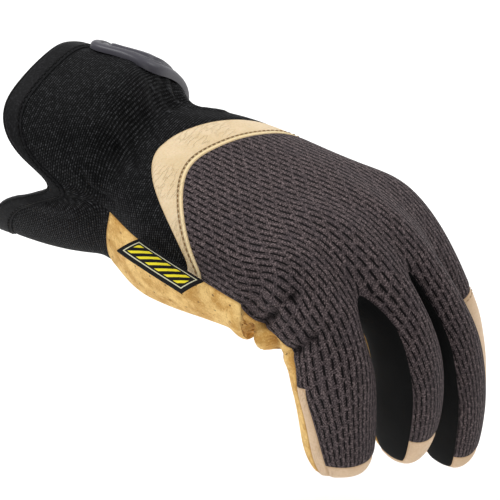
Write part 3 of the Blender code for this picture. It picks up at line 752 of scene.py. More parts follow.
def hand_place(across, along, height):
    """A place in the hand, with "along" as in the sections."""
    return np.array((across * HAND_WIDTH / 2, along_to_y(along), height * HAND_DEPTH))


def press_folds(cage, grid, points, normals, free):
    """The skin with its bunched leather, and with its folds pressed in or raised."""
    lines = [(hand_place(*start), hand_place(*end), *sizes, free) for start, end, *sizes in LOBES]
    for start, end, *sizes in FOLDS:
        lines.append((cage_place(cage, grid, *start), cage_place(cage, grid, *end), *sizes, 1.0))
    for start, end, width, height, share in lines:
        shape = share * ridge(points, start, end, width * FINGER_WIDTH)
        points = points + normals * (height * FINGER_WIDTH * shape)[:, None]
    return points


def border_inset(points, faces, normals):
    """For each point on the border of these faces, the way into the panel, and a list of border edges."""
    edges = directed_edges(faces)
    border = [edge for edge in edges if edge[::-1] not in edges]
    inward = {}
    for start, end in border:
        run = points[end] - points[start]
        run = run / np.linalg.norm(run)
        for place in (start, end):
            inward.setdefault(place, []).append(np.cross(normals[place], run))
    ways = {}
    for place, parts in inward.items():
        total = np.sum([part / np.linalg.norm(part) for part in parts], axis=0)
        size = np.linalg.norm(total)
        spread = max(size / len(parts), 0.5)
        ways[place] = total / size / spread
    return ways, border


def skin_tree(points, faces):
    return BVHTree.FromPolygons([tuple(place) for place in points], [tuple(face) for face in faces.tolist()])


def cast(tree, start, way):
    """Where a ray meets the skin."""
    spot, _, _, _ = tree.ray_cast(Vector(start), Vector(way))
    return np.array(spot)


def tab_outline():
    """Points round a square with softened corners, as shares of half the tab's length and width."""
    quarter = TAB_SIDES // 4
    places = []
    for side in range(TAB_SIDES):
        run = 2.0 * (side % quarter) / quarter - 1.0
        corner = ((1.0, run), (-run, 1.0), (-1.0, -run), (run, -1.0))[side // quarter]
        size = (abs(corner[0]) ** TAB_SQUARENESS + abs(corner[1]) ** TAB_SQUARENESS) ** (1 / TAB_SQUARENESS)
        places.append((corner[0] / size, corner[1] / size))
    return places


def tab_faces():
    """Faces of the rings that make up one side of the tab, from its middle point outwards."""
    faces = [(0, 1 + side, 1 + (side + 1) % TAB_SIDES) for side in range(TAB_SIDES)]
    for ring in range(len(TAB_PROFILE) - 2):
        low = 1 + ring * TAB_SIDES
        for side in range(TAB_SIDES):
            after = (side + 1) % TAB_SIDES
            faces.append((low + side, low + TAB_SIDES + side, low + TAB_SIDES + after, low + after))
    return faces


def closed_faces(faces, count):
    """The faces of a sheet, those of its other side and the wall round its edge."""
    edges = {(face[place - 1], face[place]) for face in faces for place in range(len(face))}
    border = [edge for edge in edges if edge[::-1] not in edges]
    under = [tuple(count + corner for corner in reversed(face)) for face in faces]
    wall = [(end, start, count + start, count + end) for start, end in sorted(border)]
    return list(faces) + under + wall


def clear_of(tree, points, ways, faces):
    """Lifts a sheet along its ways until the middle of each face and edge clears the skin too."""
    points = [spot.copy() for spot in points]
    for _ in range(LIFT_ROUNDS):
        for face in faces:
            pairs = [(face[place - 1], face[place]) for place in range(len(face))]
            for group in pairs + [face]:
                middle = np.mean([points[corner] for corner in group], axis=0)
                way = np.mean([ways[corner] for corner in group], axis=0)
                low = cast(tree, middle + way * CUFF_WIDTH, -way)
                short = SEAT - (middle - low).dot(way)
                if short > 0:
                    for corner in group:
                        points[corner] = points[corner] + ways[corner] * short
    return points


# CAD nodes that one visual piece stands for, where it is more than the node of its own name
VISUAL_NODES = {
    "back_panel": ("back_panel", *(finger.name + "_back" for finger in FINGERS)),
    "palm_panel": ("palm_panel", *(finger.name + "_front" for finger in FINGERS)),
}

# Pieces whose look differs from others of their slot
OWN_LOOKS = {"wrist_crescent": "crescent_beige", **dict.fromkeys(STRIPS, "strip_black")}

# Sewn edges: how far the edge of a panel is drawn in, and over what width it falls
EDGE_DROP = 0.00045
EDGE_WIDTH = 0.0016
SEAM_GAP = 0.00003

# Fine creases and gathers in millimetres: from, to, half width, height off the skin, and how much painted
# shade lies deep in the crease; a negative value gives a painted highlight on a raised ridge
CREASES = (
    ((46.2, 135.5, -15.0), (48.0, 142.5, -5.0), 1.8, -2.7, 1.2),
    ((48.0, 142.5, -5.0), (45.5, 149.4, 5.4), 1.6, -2.2, 1.1),
    ((45.5, 149.4, 5.4), (40.5, 153.2, 10.5), 1.5, -1.2, 0.6),
    ((45.5, 144.0, -27.0), (49.0, 153.5, -19.0), 1.9, -2.6, 1.2),
    ((49.0, 153.5, -19.0), (47.8, 160.3, -10.2), 1.7, -2.5, 1.1),
    ((47.8, 160.3, -10.2), (44.0, 165.5, -4.4), 1.4, -1.6, 0.8),
    ((48.0, 164.0, -14.0), (43.0, 169.0, -5.5), 1.2, -0.6, 0.35),
    ((47.0, 130.0, -6.0), (44.0, 137.0, 11.0), 4.5, -1.0, 0.15),
    ((47.5, 147.0, -15.0), (45.5, 154.0, -3.0), 3.0, 1.3, 0.0),
    ((47.5, 138.0, -3.0), (44.0, 144.0, 8.0), 3.0, 1.1, 0.0),
    ((-11.4, 45.0, 33.0), (-8.9, 56.2, 24.0), 0.7, 0.7, -0.7),
    ((-21.0, 46.5, 27.0), (-19.0, 54.0, 21.9), 0.7, 0.7, -0.6),
    ((-31.0, 46.3, 18.9), (-26.5, 52.6, 18.5), 0.7, 0.6, -0.5),
    ((-16.0, 46.0, 30.0), (-14.0, 55.0, 23.0), 2.2, -1.0, 0.6),
    ((-25.5, 46.0, 24.0), (-23.0, 53.0, 20.5), 2.0, -1.0, 0.6),
    ((-19.1, 54.3, 21.9), (-28.8, 70.0, 17.5), 1.2, 1.0, -0.4),
    ((21.8, 50.1, 23.5), (29.0, 57.2, 17.9), 2.2, -1.3, 0.7),
    ((14.7, 53.1, 23.2), (23.9, 61.7, 19.9), 2.2, -1.2, 0.6),
    ((2.5, 51.0, 28.8), (8.1, 61.9, 23.5), 2.6, -1.0, 0.4),
    ((18.5, 51.5, 24.5), (26.5, 59.7, 19.0), 2.0, 0.7, -0.3),
    ((35.3, 50.3, 8.8), (36.5, 58.5, 7.4), 1.3, -1.0, 0.6),
    ((36.1, 42.3, 17.4), (35.9, 47.8, 9.2), 1.8, -1.1, 0.5),
    ((38.8, 15.2, -8.1), (37.2, 39.5, -5.1), 2.2, 0.8, -0.2),
)

# Stitch rows: panel that carries them, panels on the other side of the seam, material of the thread,
# and distance from the seam, pitch, stitch length and radius in metres
STITCH_ROWS = {
    "crescent_stitches": (
        "wrist_crescent", ("back_panel",), "thread_shaded_beige", 0.0021, 0.0024, 0.0016, 0.00020
    ),
    "hem_stitches": (
        "cuff_binding", ("cuff_back", "cuff_palm"), "thread_black", 0.0013, 0.0026, 0.0019, 0.00020
    ),
    "index_stitches": (
        "index_back_leather", ("back_panel",), "thread_beige", 0.0016, 0.0025, 0.0017, 0.00018
    ),
}
STITCH_HEIGHT = 0.55
STITCH_SIDES = 6
STITCH_RINGS = (
    # share of its length, share of its radius, depth below its middle as a share of the radius
    (0.0, 0.45, 0.9),
    (0.2, 0.95, 0.1),
    (0.8, 0.95, 0.1),
    (1.0, 0.45, 0.9),
)

# Mesh cloth: pitch of the slit columns, run of one slit with its gap, slit width and length, how far
# each column is shifted from the one before, and pitch of the yarn's twist
SLIT_PITCH = 0.0028
SLIT_RUN = 0.0060
SLIT_WIDTH = 0.00062
SLIT_LENGTH = 0.0046
SLIT_SHIFT = 0.382
YARN_TWIST = 0.00115

# Pitch of the knit's ribs and loops, of the strips' weave and of the holes in the palm leather
KNIT_PITCH = 0.00105
LOOP_PITCH = 0.0012
WEAVE_PITCH = 0.0011
HOLE_PITCH = 0.0085

# Places of the crescent's welt and of the furrow beside it, and of the hem's rib, from their seams
WELT_PLACE = 0.0010
FURROW_PLACE = 0.0021
HEM_RIB_PLACE = 0.0013

# The label's border line from its edge, and the pitch of its bars and threads
LABEL_BORDER = 0.0019
LABEL_BARS = 0.0048
LABEL_THREAD = 0.0004

# How much wider the flat map grows along a finger
FLAT_GROWTH = 0.66

# The camera as fitted to the photo: a turn and tilt in degrees, a distance and a target in metres
CAMERA_TURN = 121.84
CAMERA_TILT = 39.05
CAMERA_DISTANCE = 1.189
CAMERA_TARGET = (0.0, 0.108, 0.0)
CAMERA_LENS = 209.4
CAMERA_SLIDE = (-0.0057, -0.0163)

# The white room
FLOOR_HEIGHT = -0.19
FLOOR_HALF = 4.0
FLOOR_COLOUR = (0.98, 0.98, 0.98)
SKY_STRENGTH = 0.62
LIGHT_TARGET = (0.0, 0.1, 0.0)
LIGHTS = (
    # name, place, size, power
    ("key", (0.1, -0.9, 1.3), 0.7, 20.0),
    ("fill", (1.3, 0.9, 0.7), 1.1, 5.0),
    ("rim", (-1.1, 0.6, 0.9), 0.7, 8.0),
)


class Value:
    """A number or colour inside a material, as one of its nodes gives it."""

    def __init__(self, look, socket):
        self.look = look
        self.socket = socket

    def __add__(self, other):
        return self.look.maths("ADD", self, other)

    def __sub__(self, other):
        return self.look.maths("SUBTRACT", self, other)

    def __mul__(self, other):
        return self.look.maths("MULTIPLY", self, other)

    def __truediv__(self, other):
        return self.look.maths("DIVIDE", self, other)

    def __abs__(self):
        return self.look.maths("ABSOLUTE", self)


class Shading:
    """A material and short ways to build its nodes."""

    def __init__(self, name, roughness, shine=0.12, nap=0.0, nap_colour=(0.7, 0.7, 0.75)):
        self.material = bpy.data.materials.new(name)
        self.material.use_nodes = True
        self.tree = self.material.node_tree
        self.shader = self.tree.nodes["Principled BSDF"]
        self.surface({"Roughness": roughness, "Specular IOR Level": shine})
        if nap:
            self.surface({"Sheen Weight": nap, "Sheen Tint": nap_colour, "Sheen Roughness": 0.4})

    def surface(self, values):
        for name, value in values.items():
            self.feed(value, self.shader.inputs[name])

    def feed(self, value, socket):
        if isinstance(value, Value):
            self.tree.links.new(value.socket, socket)
        else:
            socket.default_value = (*value, 1.0) if socket.type == "RGBA" else value

    def node(self, kind, output, inputs=None, **settings):
        """What a new node with these inputs and settings gives."""
        made = self.tree.nodes.new("ShaderNode" + kind)
        for key, value in settings.items():
            setattr(made, key, value)
        for key, value in (inputs or {}).items():
            self.feed(value, made.inputs[key])
        return Value(self, made.outputs[output])

    def maths(self, operation, *values):
        return self.node("Math", "Value", dict(enumerate(values)), operation=operation)

    def flat(self):
        """Distances round and along the glove in metres."""
        place = self.node("UVMap", "UV", uv_map="flat")
        return [self.node("SeparateXYZ", axis, {"Vector": place}) for axis in "XY"]

    def attribute(self, name):
        return self.node("Attribute", "Fac", attribute_name=name)

    def noise(self, size, detail=2.0, roughness=0.5, stretch=(1.0, 1.0, 1.0)):
        """Soft noise between 0 and 1 with features of about this size in metres."""
        place = self.node("TexCoord", "Object")
        place = self.node("Mapping", "Vector", {"Vector": place, "Scale": stretch})
        inputs = {"Vector": place, "Scale": 1.0 / size, "Detail": detail, "Roughness": roughness}
        return self.node("TexNoise", "Fac", inputs)

    def rise(self, value, low, high, start=0.0, end=1.0):
        """A smooth step from start to end while the value goes from low to high."""
        names = ("Value", "From Min", "From Max", "To Min", "To Max")
        inputs = dict(zip(names, (value, low, high, start, end)))
        return self.node("MapRange", "Result", inputs, interpolation_type="SMOOTHSTEP")

    def fall(self, value, low, high, start=1.0):
        return self.rise(value, low, high, start, 0.0)

    def wave(self, value):
        """A wave between 0 and 1."""
        return self.maths("SINE", value) * 0.5 + 0.5

    def drifted(self, place, amount):
        """A place shifted a little to and fro, so that rows don't run dead straight."""
        return place + (self.noise(0.010) - 0.5) * amount

    def layered(self, tone, *layers):
        """A colour with others laid over it, each by its share."""
        for share, colour in layers:
            tone = self.node("Mix", 2, {0: share, 6: tone, 7: colour}, data_type="RGBA")
        return tone

    def shaded(self, tone, dark, pale):
        """The colour, with painted shade deep in the creases and a painted highlight on the raised ridges."""
        shade = self.attribute("shade")
        return self.layered(
            tone,
            (self.rise(shade, 0.0, 0.9, 0.0, 0.85), dark),
            (self.rise(shade, 0.0, -0.7, 0.0, 0.6), pale),
        )

    def finish(self, colour, height=None, depth=0.0, strength=1.0):
        """Gives the surface its colour and a relief of this depth in metres."""
        self.surface({"Base Color": colour})
        if height is not None:
            inputs = {"Distance": depth, "Strength": strength, "Height": height}
            self.surface({"Normal": self.node("Bump", "Normal", inputs)})


def mesh_look(look, hollow, yarn, fleck, haze, groove_shade, slot, shadow, ridge_highlight):
    """Brown knitted mesh: lengthwise ribs of twisted yarn with staggered slits between them."""
    across, along = look.flat()
    column = look.drifted(across, 0.0012) / SLIT_PITCH
    number = look.maths("FLOOR", column)
    over = abs(look.maths("FRACT", column) - 0.5)
    row = look.maths("FRACT", along / SLIT_RUN + number * SLIT_SHIFT)
    half = SLIT_WIDTH / SLIT_PITCH / 2
    length = SLIT_LENGTH / SLIT_RUN / 2
    slit = look.fall(over, half * 0.7, half * 1.5)
    slit = slit * look.fall(abs(row - 0.5), length * 0.84, length * 1.06)
    groove = look.fall(over, 0.0, half * 2.4)
    turn = column * (4 * math.pi)
    twist = look.maths("SINE", number * 1.9 + along * (2 * math.pi / YARN_TWIST) + turn)
    weave = (twist + look.maths("COSINE", turn)) * 0.25 + 0.5
    # Painted light: the yarn colour is a painted highlight on the ribs and twists, over painted shade in the
    # hollow colour between them. The fleck colour adds painted glints, and the groove and slit colours are
    # painted shade
    tone = look.layered(
        hollow,
        (weave, yarn),
        (look.rise(look.noise(0.0007), 0.51, 0.64, 0.0, 0.80), fleck),
        (look.rise(look.noise(0.007, 3.0), 0.35, 0.75, 0.0, 0.35), haze),
        (groove * 0.45, groove_shade),
        (slit * 0.98, slot),
    )
    look.finish(look.shaded(tone, shadow, ridge_highlight), weave * 0.5 + groove * -0.3 - slit, 0.00055)


def knit_look(look, hollow, yarn, shadow, ridge_highlight):
    """Black knit with fine dotted ribs that run round the wrist."""
    across, along = look.flat()
    row = look.drifted(along, 0.0006) / KNIT_PITCH
    shift = look.maths("FLOOR", row + 0.25) * math.pi
    loops = look.wave(across * (2 * math.pi / LOOP_PITCH) + shift)
    height = look.wave(row * (2 * math.pi)) * (loops * 0.7 + 0.3)
    # Painted highlight: the yarn colour on the tops of the loops, flecked by this noise, over painted shade
    # in the hollow colour between them
    fleck = look.rise(look.noise(0.0013), 0.42, 0.70)
    light = look.maths("POWER", height * (fleck * 0.75 + 0.25), 1.3)
    look.finish(look.shaded(look.layered(hollow, (light, yarn)), shadow, ridge_highlight), height, 0.00040)


def strip_look(look, hollow, cloth, thread, shadow, ridge_highlight):
    """Smooth black cloth of the strips between the fingers, with a fine slanted weave."""
    across, along = look.flat()
    weave = look.wave((across + along * 1.6) * (2 * math.pi / WEAVE_PITCH))
    cloud = look.noise(0.012)
    tone = look.layered(hollow, (cloud, cloth), (weave * 0.35, thread))
    look.finish(look.shaded(tone, shadow, ridge_highlight), weave * 0.4 + cloud * 1.5, 0.00020)


def hem_look(look, hollow, cloth, fleck):
    """Smooth black band with a fine rib along it."""
    groove = look.rise(abs(look.attribute("edge") - HEM_RIB_PLACE), 0.0, 0.0006)
    grain = look.noise(0.0009, 3.0)
    tone = look.layered(hollow, (groove, cloth), (look.rise(grain, 0.45, 0.75, 0.0, 0.6), fleck))
    look.finish(tone, groove + grain * 0.35, 0.0004)


def grain_look(look, dark, light, welt=None, furrow_shade=None):
    """Smooth beige leather with fine grain, soft wrinkles in painted shade and, on the crescent, a welt
    beside the seam with a painted highlight and painted shade in the groove next to it.
    """
    grain = look.noise(0.0009, 4.0, 0.6)
    wrinkle = look.noise(0.0060, 2.0, 0.5, (0.7, 2.8, 1.0))
    fold = look.fall(abs(wrinkle - 0.5), 0.0, 0.045) * look.rise(look.noise(0.020, 1.0), 0.46, 0.60)
    deep = tuple(part * share for part, share in zip(dark, (0.74, 0.66, 0.54)))
    tone = look.layered(
        dark,
        (look.rise(look.noise(0.016, 3.0), 0.3, 0.7), light),
        (look.fall(grain, 0.34, 0.58, 0.22), deep),
        # The deep colour along the wrinkles is painted shade
        (fold * 0.24, deep),
        (look.fall(look.attribute("edge"), 0.0001, 0.0010, 0.55), deep),
    )
    height = grain * 0.30 + fold * -0.55
    if welt:
        inwards = look.attribute("welt")
        near = look.fall(abs(inwards - FURROW_PLACE), 0.0001, 0.0006)
        roll = look.fall(abs(inwards - WELT_PLACE), 0.0002, 0.0010)
        # Painted highlight on the raised welt and painted shade in the groove beside it
        tone = look.layered(tone, (roll * 0.40, welt), (near * 0.42, furrow_shade))
        height = height - near * 1.8 + roll * 0.9
    look.finish(tone, height, 0.0003)
    look.surface({"Subsurface Weight": 0.05, "Subsurface Radius": (0.004, 0.002, 0.001)})


def suede_look(look, dark, light, pale_nap, dark_nap, fold, edge, hole_shade):
    """Golden leather with a short nap, blotched, with painted shade in its folds and in a few punched holes.
    """
    nap = look.noise(0.0009, 4.0, 0.7)
    off, up = (look.maths("FRACT", way / HOLE_PITCH) - 0.5 for way in look.flat())
    hole = look.fall(look.maths("SQRT", off * off + up * up), 0.035, 0.070)
    # The fold colour is painted shade where the surface curves inwards, and the hole colour is painted shade
    # inside the punched holes
    tone = look.layered(
        dark,
        (look.rise(look.noise(0.009, 4.0, 0.65), 0.34, 0.66), light),
        (look.rise(nap, 0.54, 0.70, 0.0, 0.55), pale_nap),
        (look.fall(nap, 0.30, 0.48, 0.60), dark_nap),
        (look.fall(look.node("NewGeometry", "Pointiness"), 0.43, 0.50, 0.75), fold),
        (look.fall(look.attribute("edge"), 0.0001, 0.0014, 0.5), edge),
        (hole * 0.65, hole_shade),
    )
    look.finish(tone, nap * 0.9 - hole, 0.0004)


def rubber_look(look, dark, light):
    """Dark grey moulded rubber with a very fine grain."""
    look.finish(look.layered(dark, (look.noise(0.01), light)), look.noise(0.0004), 0.00008, 0.6)


def label_look(look, ground, bars, border):
    """Black woven label with a pale line border and plain yellow slanted bars."""
    across, along = look.flat()
    to_side = look.maths("MINIMUM", across, look.maths("SUBTRACT", LABEL_WIDTH, across))
    to_end = look.maths("MINIMUM", along, look.maths("SUBTRACT", LABEL_LENGTH, along))
    edge = look.maths("MINIMUM", to_side, to_end)
    line = look.fall(abs(edge - LABEL_BORDER), 0.00016, 0.00034)
    place = look.maths("FRACT", (along + across * 0.8) / LABEL_BARS)
    inside = look.rise(edge, LABEL_BORDER + 0.0010, LABEL_BORDER + 0.0013)
    bar = look.fall(abs(place - 0.5), 0.20, 0.24) * inside
    weave = look.maths("SINE", along * (2 * math.pi / LABEL_THREAD))
    look.finish(look.layered(ground, (bar, bars), (line, border)), weave, 0.00005)


def plain_look(look, dark, light):
    look.finish(look.layered(dark, (look.noise(0.0005), light)))


LOOKS = {
    # name: painter, (roughness, shine, nap, nap colour), colours that the painter lays on
    "back_mesh": (
        mesh_look,
        (0.75, 0.08, 0.06, (0.85, 0.72, 0.75)),
        # hollow (painted shade between the ribs), yarn (painted highlight on the ribs), fleck (painted
        # glints), haze; groove and slit colours (painted shade), crease shadow (painted shade), ridge
        # highlight (painted highlight)
        ((0.009, 0.0066, 0.0070), (0.086, 0.066, 0.067), (0.190, 0.146, 0.147), (0.040, 0.033, 0.038)),
        ((0.012, 0.009, 0.010), (0.0020, 0.0014, 0.0016), (0.004, 0.003, 0.0035), (0.12, 0.09, 0.09)),
    ),
    "knit_black": (
        knit_look,
        (0.7, 0.06, 0.03),
        # hollow (painted shade between the loops), yarn (painted highlight on the loops), crease shadow
        # (painted shade), ridge highlight (painted highlight)
        ((0.0009, 0.0009, 0.0010), (0.066, 0.067, 0.071), (0.0015, 0.0015, 0.0015), (0.055, 0.056, 0.060)),
    ),
    "strip_black": (
        strip_look,
        (0.7, 0.06, 0.02),
        ((0.0012, 0.0012, 0.0012), (0.0050, 0.0052, 0.0052), (0.011, 0.0115, 0.0115)),
        # crease shadow (painted shade) and ridge highlight (painted highlight)
        ((0.002, 0.002, 0.002), (0.02, 0.02, 0.02)),
    ),
    "hem_black": (
        hem_look,
        (0.65, 0.07, 0.03),
        ((0.001, 0.001, 0.001), (0.0052, 0.0052, 0.0056), (0.024, 0.024, 0.026)),
    ),
    "leather_gold": (
        suede_look,
        (0.8, 0.12, 0.12, (1.0, 0.80, 0.50)),
        ((0.53, 0.29, 0.075), (0.84, 0.57, 0.22), (0.88, 0.64, 0.28), (0.29, 0.125, 0.022)),
        # fold colour (painted shade in the folds), edge colour, hole colour (painted shade inside the holes)
        ((0.22, 0.085, 0.014), (0.25, 0.11, 0.02), (0.10, 0.045, 0.012)),
    ),
    "leather_beige": (grain_look, (0.5,), ((0.56, 0.40, 0.26), (0.66, 0.49, 0.335))),
    "crescent_beige": (
        grain_look,
        (0.5,),
        # dark, light, welt colour (painted highlight on the raised welt), last colour (painted shade in the
        # groove beside the welt)
        ((0.57, 0.44, 0.265), (0.645, 0.515, 0.345), (0.88, 0.72, 0.40), (0.36, 0.23, 0.10)),
    ),
    "rubber_grey": (rubber_look, (0.42, 0.3), ((0.038, 0.036, 0.046), (0.056, 0.054, 0.066))),
    "woven_label": (label_look, (0.75,), ((0.008, 0.008, 0.009), (0.80, 0.68, 0.03), (0.62, 0.60, 0.42))),
    # The crescent's thread: beige thread made darker, partly its own colour and partly painted shade of the
    # stitch dashes
    "thread_shaded_beige": (plain_look, (0.7,), ((0.192, 0.104, 0.04), (0.24, 0.13, 0.05))),
    "thread_black": (plain_look, (0.6,), ((0.0048, 0.0048, 0.0048), (0.006, 0.006, 0.006))),
    "thread_beige": (plain_look, (0.7,), ((0.36, 0.256, 0.144), (0.45, 0.32, 0.18))),
}


def make_looks():
    made = {}
    for name, (paint, surface, *colours) in LOOKS.items():
        look = Shading(name, *surface)
        paint(look, *(colour for group in colours for colour in group))
        made[name] = look.material
    return made


def press_creases(points, normals):
    """The skin with its fine creases, and how much painted shade or painted highlight each point gets."""
    shade = np.zeros(len(points))
    for start, end, width, height, dark in CREASES:
        share = ridge(points, np.array(start) / 1000, np.array(end) / 1000, width / 1000)
        points = points + normals * (height / 1000 * share)[:, None]
        # Painted shade along each pressed-in crease; a negative value gives a painted highlight on a raised
        # ridge
        shade = shade + dark * share ** 2
    return points, shade


def directed_edges(faces):
    """Every directed edge of these quads, with its face number."""
    return {
        (int(face[corner]), int(face[(corner + 1) % 4])): number
        for number, face in enumerate(faces)
        for corner in range(4)
    }


def chains(edges):
    """Directed edges joined end to end into lists of points."""
    after = dict(edges)
    starts = [start for start in after if start not in set(after.values())]
    lines = []
    while after:
        place = starts.pop() if starts else next(iter(after))
        line = [place]
        while place in after:
            place = after.pop(place)
            line.append(place)
        lines.append(line)
    return lines


def panel_mesh(name, skin, number, material):
    """The closed wall of a panel, with drawn-in edges, its flat map and its distance from the seams."""
    points, faces, panels, flats, normals, edges, shade = skin
    wall, lift, _ = PANELS[name]
    chosen = panels == number
    own = faces[chosen]
    own_flats = flats[chosen].tolist()
    ways, border = border_inset(points, own, normals)
    used = np.unique(own)
    index_of = {int(place): index for index, place in enumerate(used)}
    edge = distances_to(points[used], [points[place] for place in ways])
    fall = EDGE_DROP * np.exp(-((edge / EDGE_WIDTH) ** 2) * 2.0)
    outer = points[used] + normals[used] * (lift - fall)[:, None]
    inner = points[used] + normals[used] * (lift - wall)
    for place, way in ways.items():
        for side in (outer, inner):
            side[index_of[place]] += way * SEAM_GAP
    count = len(used)
    table = np.searchsorted(used, own).tolist()
    all_faces = [tuple(row) for row in table]
    all_faces += [tuple(count + corner for corner in reversed(row)) for row in table]
    uvs = [place for row in own_flats for place in row]
    uvs += [place for row in own_flats for place in reversed(row)]
    flat_of = {}
    for row, places in zip(table, own_flats):
        flat_of.update(zip(row, places))
    for start, end in border:
        first, last = index_of[start], index_of[end]
        all_faces.append((last, first, count + first, count + last))
        uvs += [flat_of[corner] for corner in (last, first, first, last)]
    values = {"edge": np.tile(edge, 2), "shade": np.tile(shade[used], 2)}
    if name == "wrist_crescent":
        other = PANEL_NAMES.index("back_panel")
        seam = [points[start] for start, end in border if panels[edges[(end, start)]] == other]
        welt = distances_to(points[used], seam)
        values["welt"] = np.concatenate((welt, welt + 1.0))
    return finished_mesh(name, np.concatenate((outer, inner)), all_faces, material, uvs, values)


def finished_mesh(name, points, faces, material, uvs=(), values=None):
    """A smooth piece with its flat map and the values that its look reads at each point."""
    mesh = raw_mesh(name, points, faces)
    if uvs:
        flat = mesh.uv_layers.new(name="flat")
        flat.data.foreach_set("uv", np.array(uvs, dtype=np.float32).ravel())
    for key, numbers in (values or {}).items():
        layer = mesh.attributes.new(key, "FLOAT", "POINT")
        layer.data.foreach_set("value", np.array(numbers, dtype=np.float32))
    mesh.materials.append(material)
    shaped = bmesh.new()
    shaped.from_mesh(mesh)
    bmesh.ops.recalc_face_normals(shaped, faces=shaped.faces)
    shaped.to_mesh(mesh)
    shaped.free()
    mesh.shade_smooth()
    mesh.set_sharp_from_angle(angle=math.radians(60))
    return linked(name, mesh)


def stitch_row(name, skin, tree, row, material):
    """Rounded stitches along a seam, each laid on the skin."""
    points, _, panels, _, normals, edges, _ = skin
    panel, others, _, offset, pitch, length, radius = row
    own = PANEL_NAMES.index(panel)
    others = {PANEL_NAMES.index(other) for other in others}
    border = [
        edge
        for edge, face in edges.items()
        if panels[face] == own and edge[::-1] in edges and panels[edges[edge[::-1]]] in others
    ]
    spots, shapes = [], []
    for line in chains(border):
        path = points[line]
        inward = np.cross(normals[line], np.gradient(path, axis=0))
        inward /= np.linalg.norm(inward, axis=1)[:, None]
        path = path + inward * offset
        steps = np.concatenate(([0.0], np.cumsum(np.linalg.norm(np.diff(path, axis=0), axis=1))))
        for start in np.arange(pitch, steps[-1] - pitch, pitch):
            ends = []
            for place in (start, start + length):
                spot = [np.interp(place, steps, path[:, axis]) for axis in range(3)]
                near, normal, _, _ = tree.find_nearest(Vector(spot))
                ends.append(near + normal * (PANELS[panel][1] + radius * STITCH_HEIGHT))
            add_stitch(spots, shapes, *ends, normal, radius)
    return finished_mesh(name, spots, shapes, material)


def add_stitch(spots, shapes, start, end, normal, radius):
    """One stitch: a short rod with rounded ends that dip into the cloth."""
    run = end - start
    side = run.cross(normal).normalized()
    up = side.cross(run).normalized()
    first = len(spots)
    for share, size, sink in STITCH_RINGS:
        centre = start + run * share - up * radius * sink
        for step in range(STITCH_SIDES):
            turn = 2 * math.pi * step / STITCH_SIDES
            spots.append(centre + (side * math.cos(turn) + up * math.sin(turn)) * radius * size)
    rings = [range(low, low + STITCH_SIDES) for low in range(first, len(spots), STITCH_SIDES)]
    for low, high in zip(rings, rings[1:]):
        for step in range(STITCH_SIDES):
            after = (step + 1) % STITCH_SIDES
            shapes.append((low[step], low[after], high[after], high[step]))
    shapes.append(tuple(rings[0]))
    shapes.append(tuple(reversed(rings[-1])))


def evened(spots, ways):
    """The tab's seat with its small bumps smoothed away, each point moved only along its own way."""
    reach = np.array([float(np.dot(spot, way)) for spot, way in zip(spots, ways)])
    ring = reach[1:].reshape(len(TAB_PROFILE) - 1, TAB_SIDES)
    even = ring.copy()
    for _ in range(EVENING_ROUNDS):
        even = even * 0.5 + (np.roll(even, 1, axis=1) + np.roll(even, -1, axis=1)) * 0.25
        even[1:-1] = even[1:-1] * 0.5 + (even[:-2] + even[2:]) * 0.25
    moves = np.concatenate(([even[0].mean() - reach[0]], (even - ring).ravel()))
    return [np.array(spot) + way * move for spot, way, move in zip(spots, ways, moves)]


def rubber_tab(tree, material):
    """The moulded tab, laid round the cuff: a raised middle, a groove and a rim."""
    spread = TAB_WIDTH / (CUFF_DEPTH / 2)
    inner, ways, heights = [], [], []
    for share, height in TAB_PROFILE:
        for along, across in tab_outline() if share else ((0.0, 0.0),):
            angle = math.radians(TAB_END_ANGLE) + spread * (across * share + 1.0) / 2
            place = CUFF_LENGTH * TAB_END_ALONG + TAB_LENGTH * (along * share - 1.0) / 2
            way = np.array((-math.sin(angle), 0.0, math.cos(angle)))
            axis = np.array((0.0, place, 0.0))
            inner.append(cast(tree, axis + way * CUFF_WIDTH, -way) + way * SEAT)
            ways.append(way)
            heights.append(height)
    faces = tab_faces()
    inner = evened(clear_of(tree, inner, ways, faces), ways)
    outer = [spot + way * TAB_THICKNESS * height for spot, way, height in zip(inner, ways, heights)]
    return finished_mesh("rubber_tab", outer + inner, closed_faces(faces, len(inner)), material)


def side_label(tree, cage, grid, material):
    """The woven label: a short flap that stands out of the little-finger seam."""
    seam = np.array([cage_place(cage, grid, SEAM, row) for row in np.linspace(ROW["wrist"], ROW["pad"], 60)])
    start = CUFF_LENGTH + LABEL_START * PALM_LENGTH
    reach = np.array(LABEL_REACH)
    half_wall = np.array((0.0, 0.0, LABEL_WALL / 2))
    long_steps, wide_steps = LABEL_STEPS
    upper, lower, flats = [], [], []
    for step in range(long_steps + 1):
        along = LABEL_LENGTH * step / long_steps
        height = np.interp(start + along, seam[:, 1], seam[:, 2])
        root = cast(tree, (HAND_WIDTH, start + along, height), (-1.0, 0.0, 0.0)) + reach * LABEL_CLEARANCE
        for wide in range(wide_steps + 1):
            share = wide / wide_steps
            spot = root + reach * LABEL_WIDTH * share
            spot[2] -= LABEL_DROOP * LABEL_WIDTH * share ** 2
            upper.append(spot + half_wall)
            lower.append(spot - half_wall)
            flats.append((LABEL_WIDTH * share, along))
    row = wide_steps + 1
    corners = [step * row + wide for step in range(long_steps) for wide in range(wide_steps)]
    faces = closed_faces([(first, first + 1, first + row + 1, first + row) for first in corners], len(upper))
    flats = flats + flats
    uvs = [flats[corner] for face in faces for corner in face]
    return finished_mesh("side_label", upper + lower, faces, material, uvs)


def put(made, nodes=()):
    """Hands a finished piece to the frame."""
    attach(made, "root")
    if nodes:
        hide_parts(*nodes)


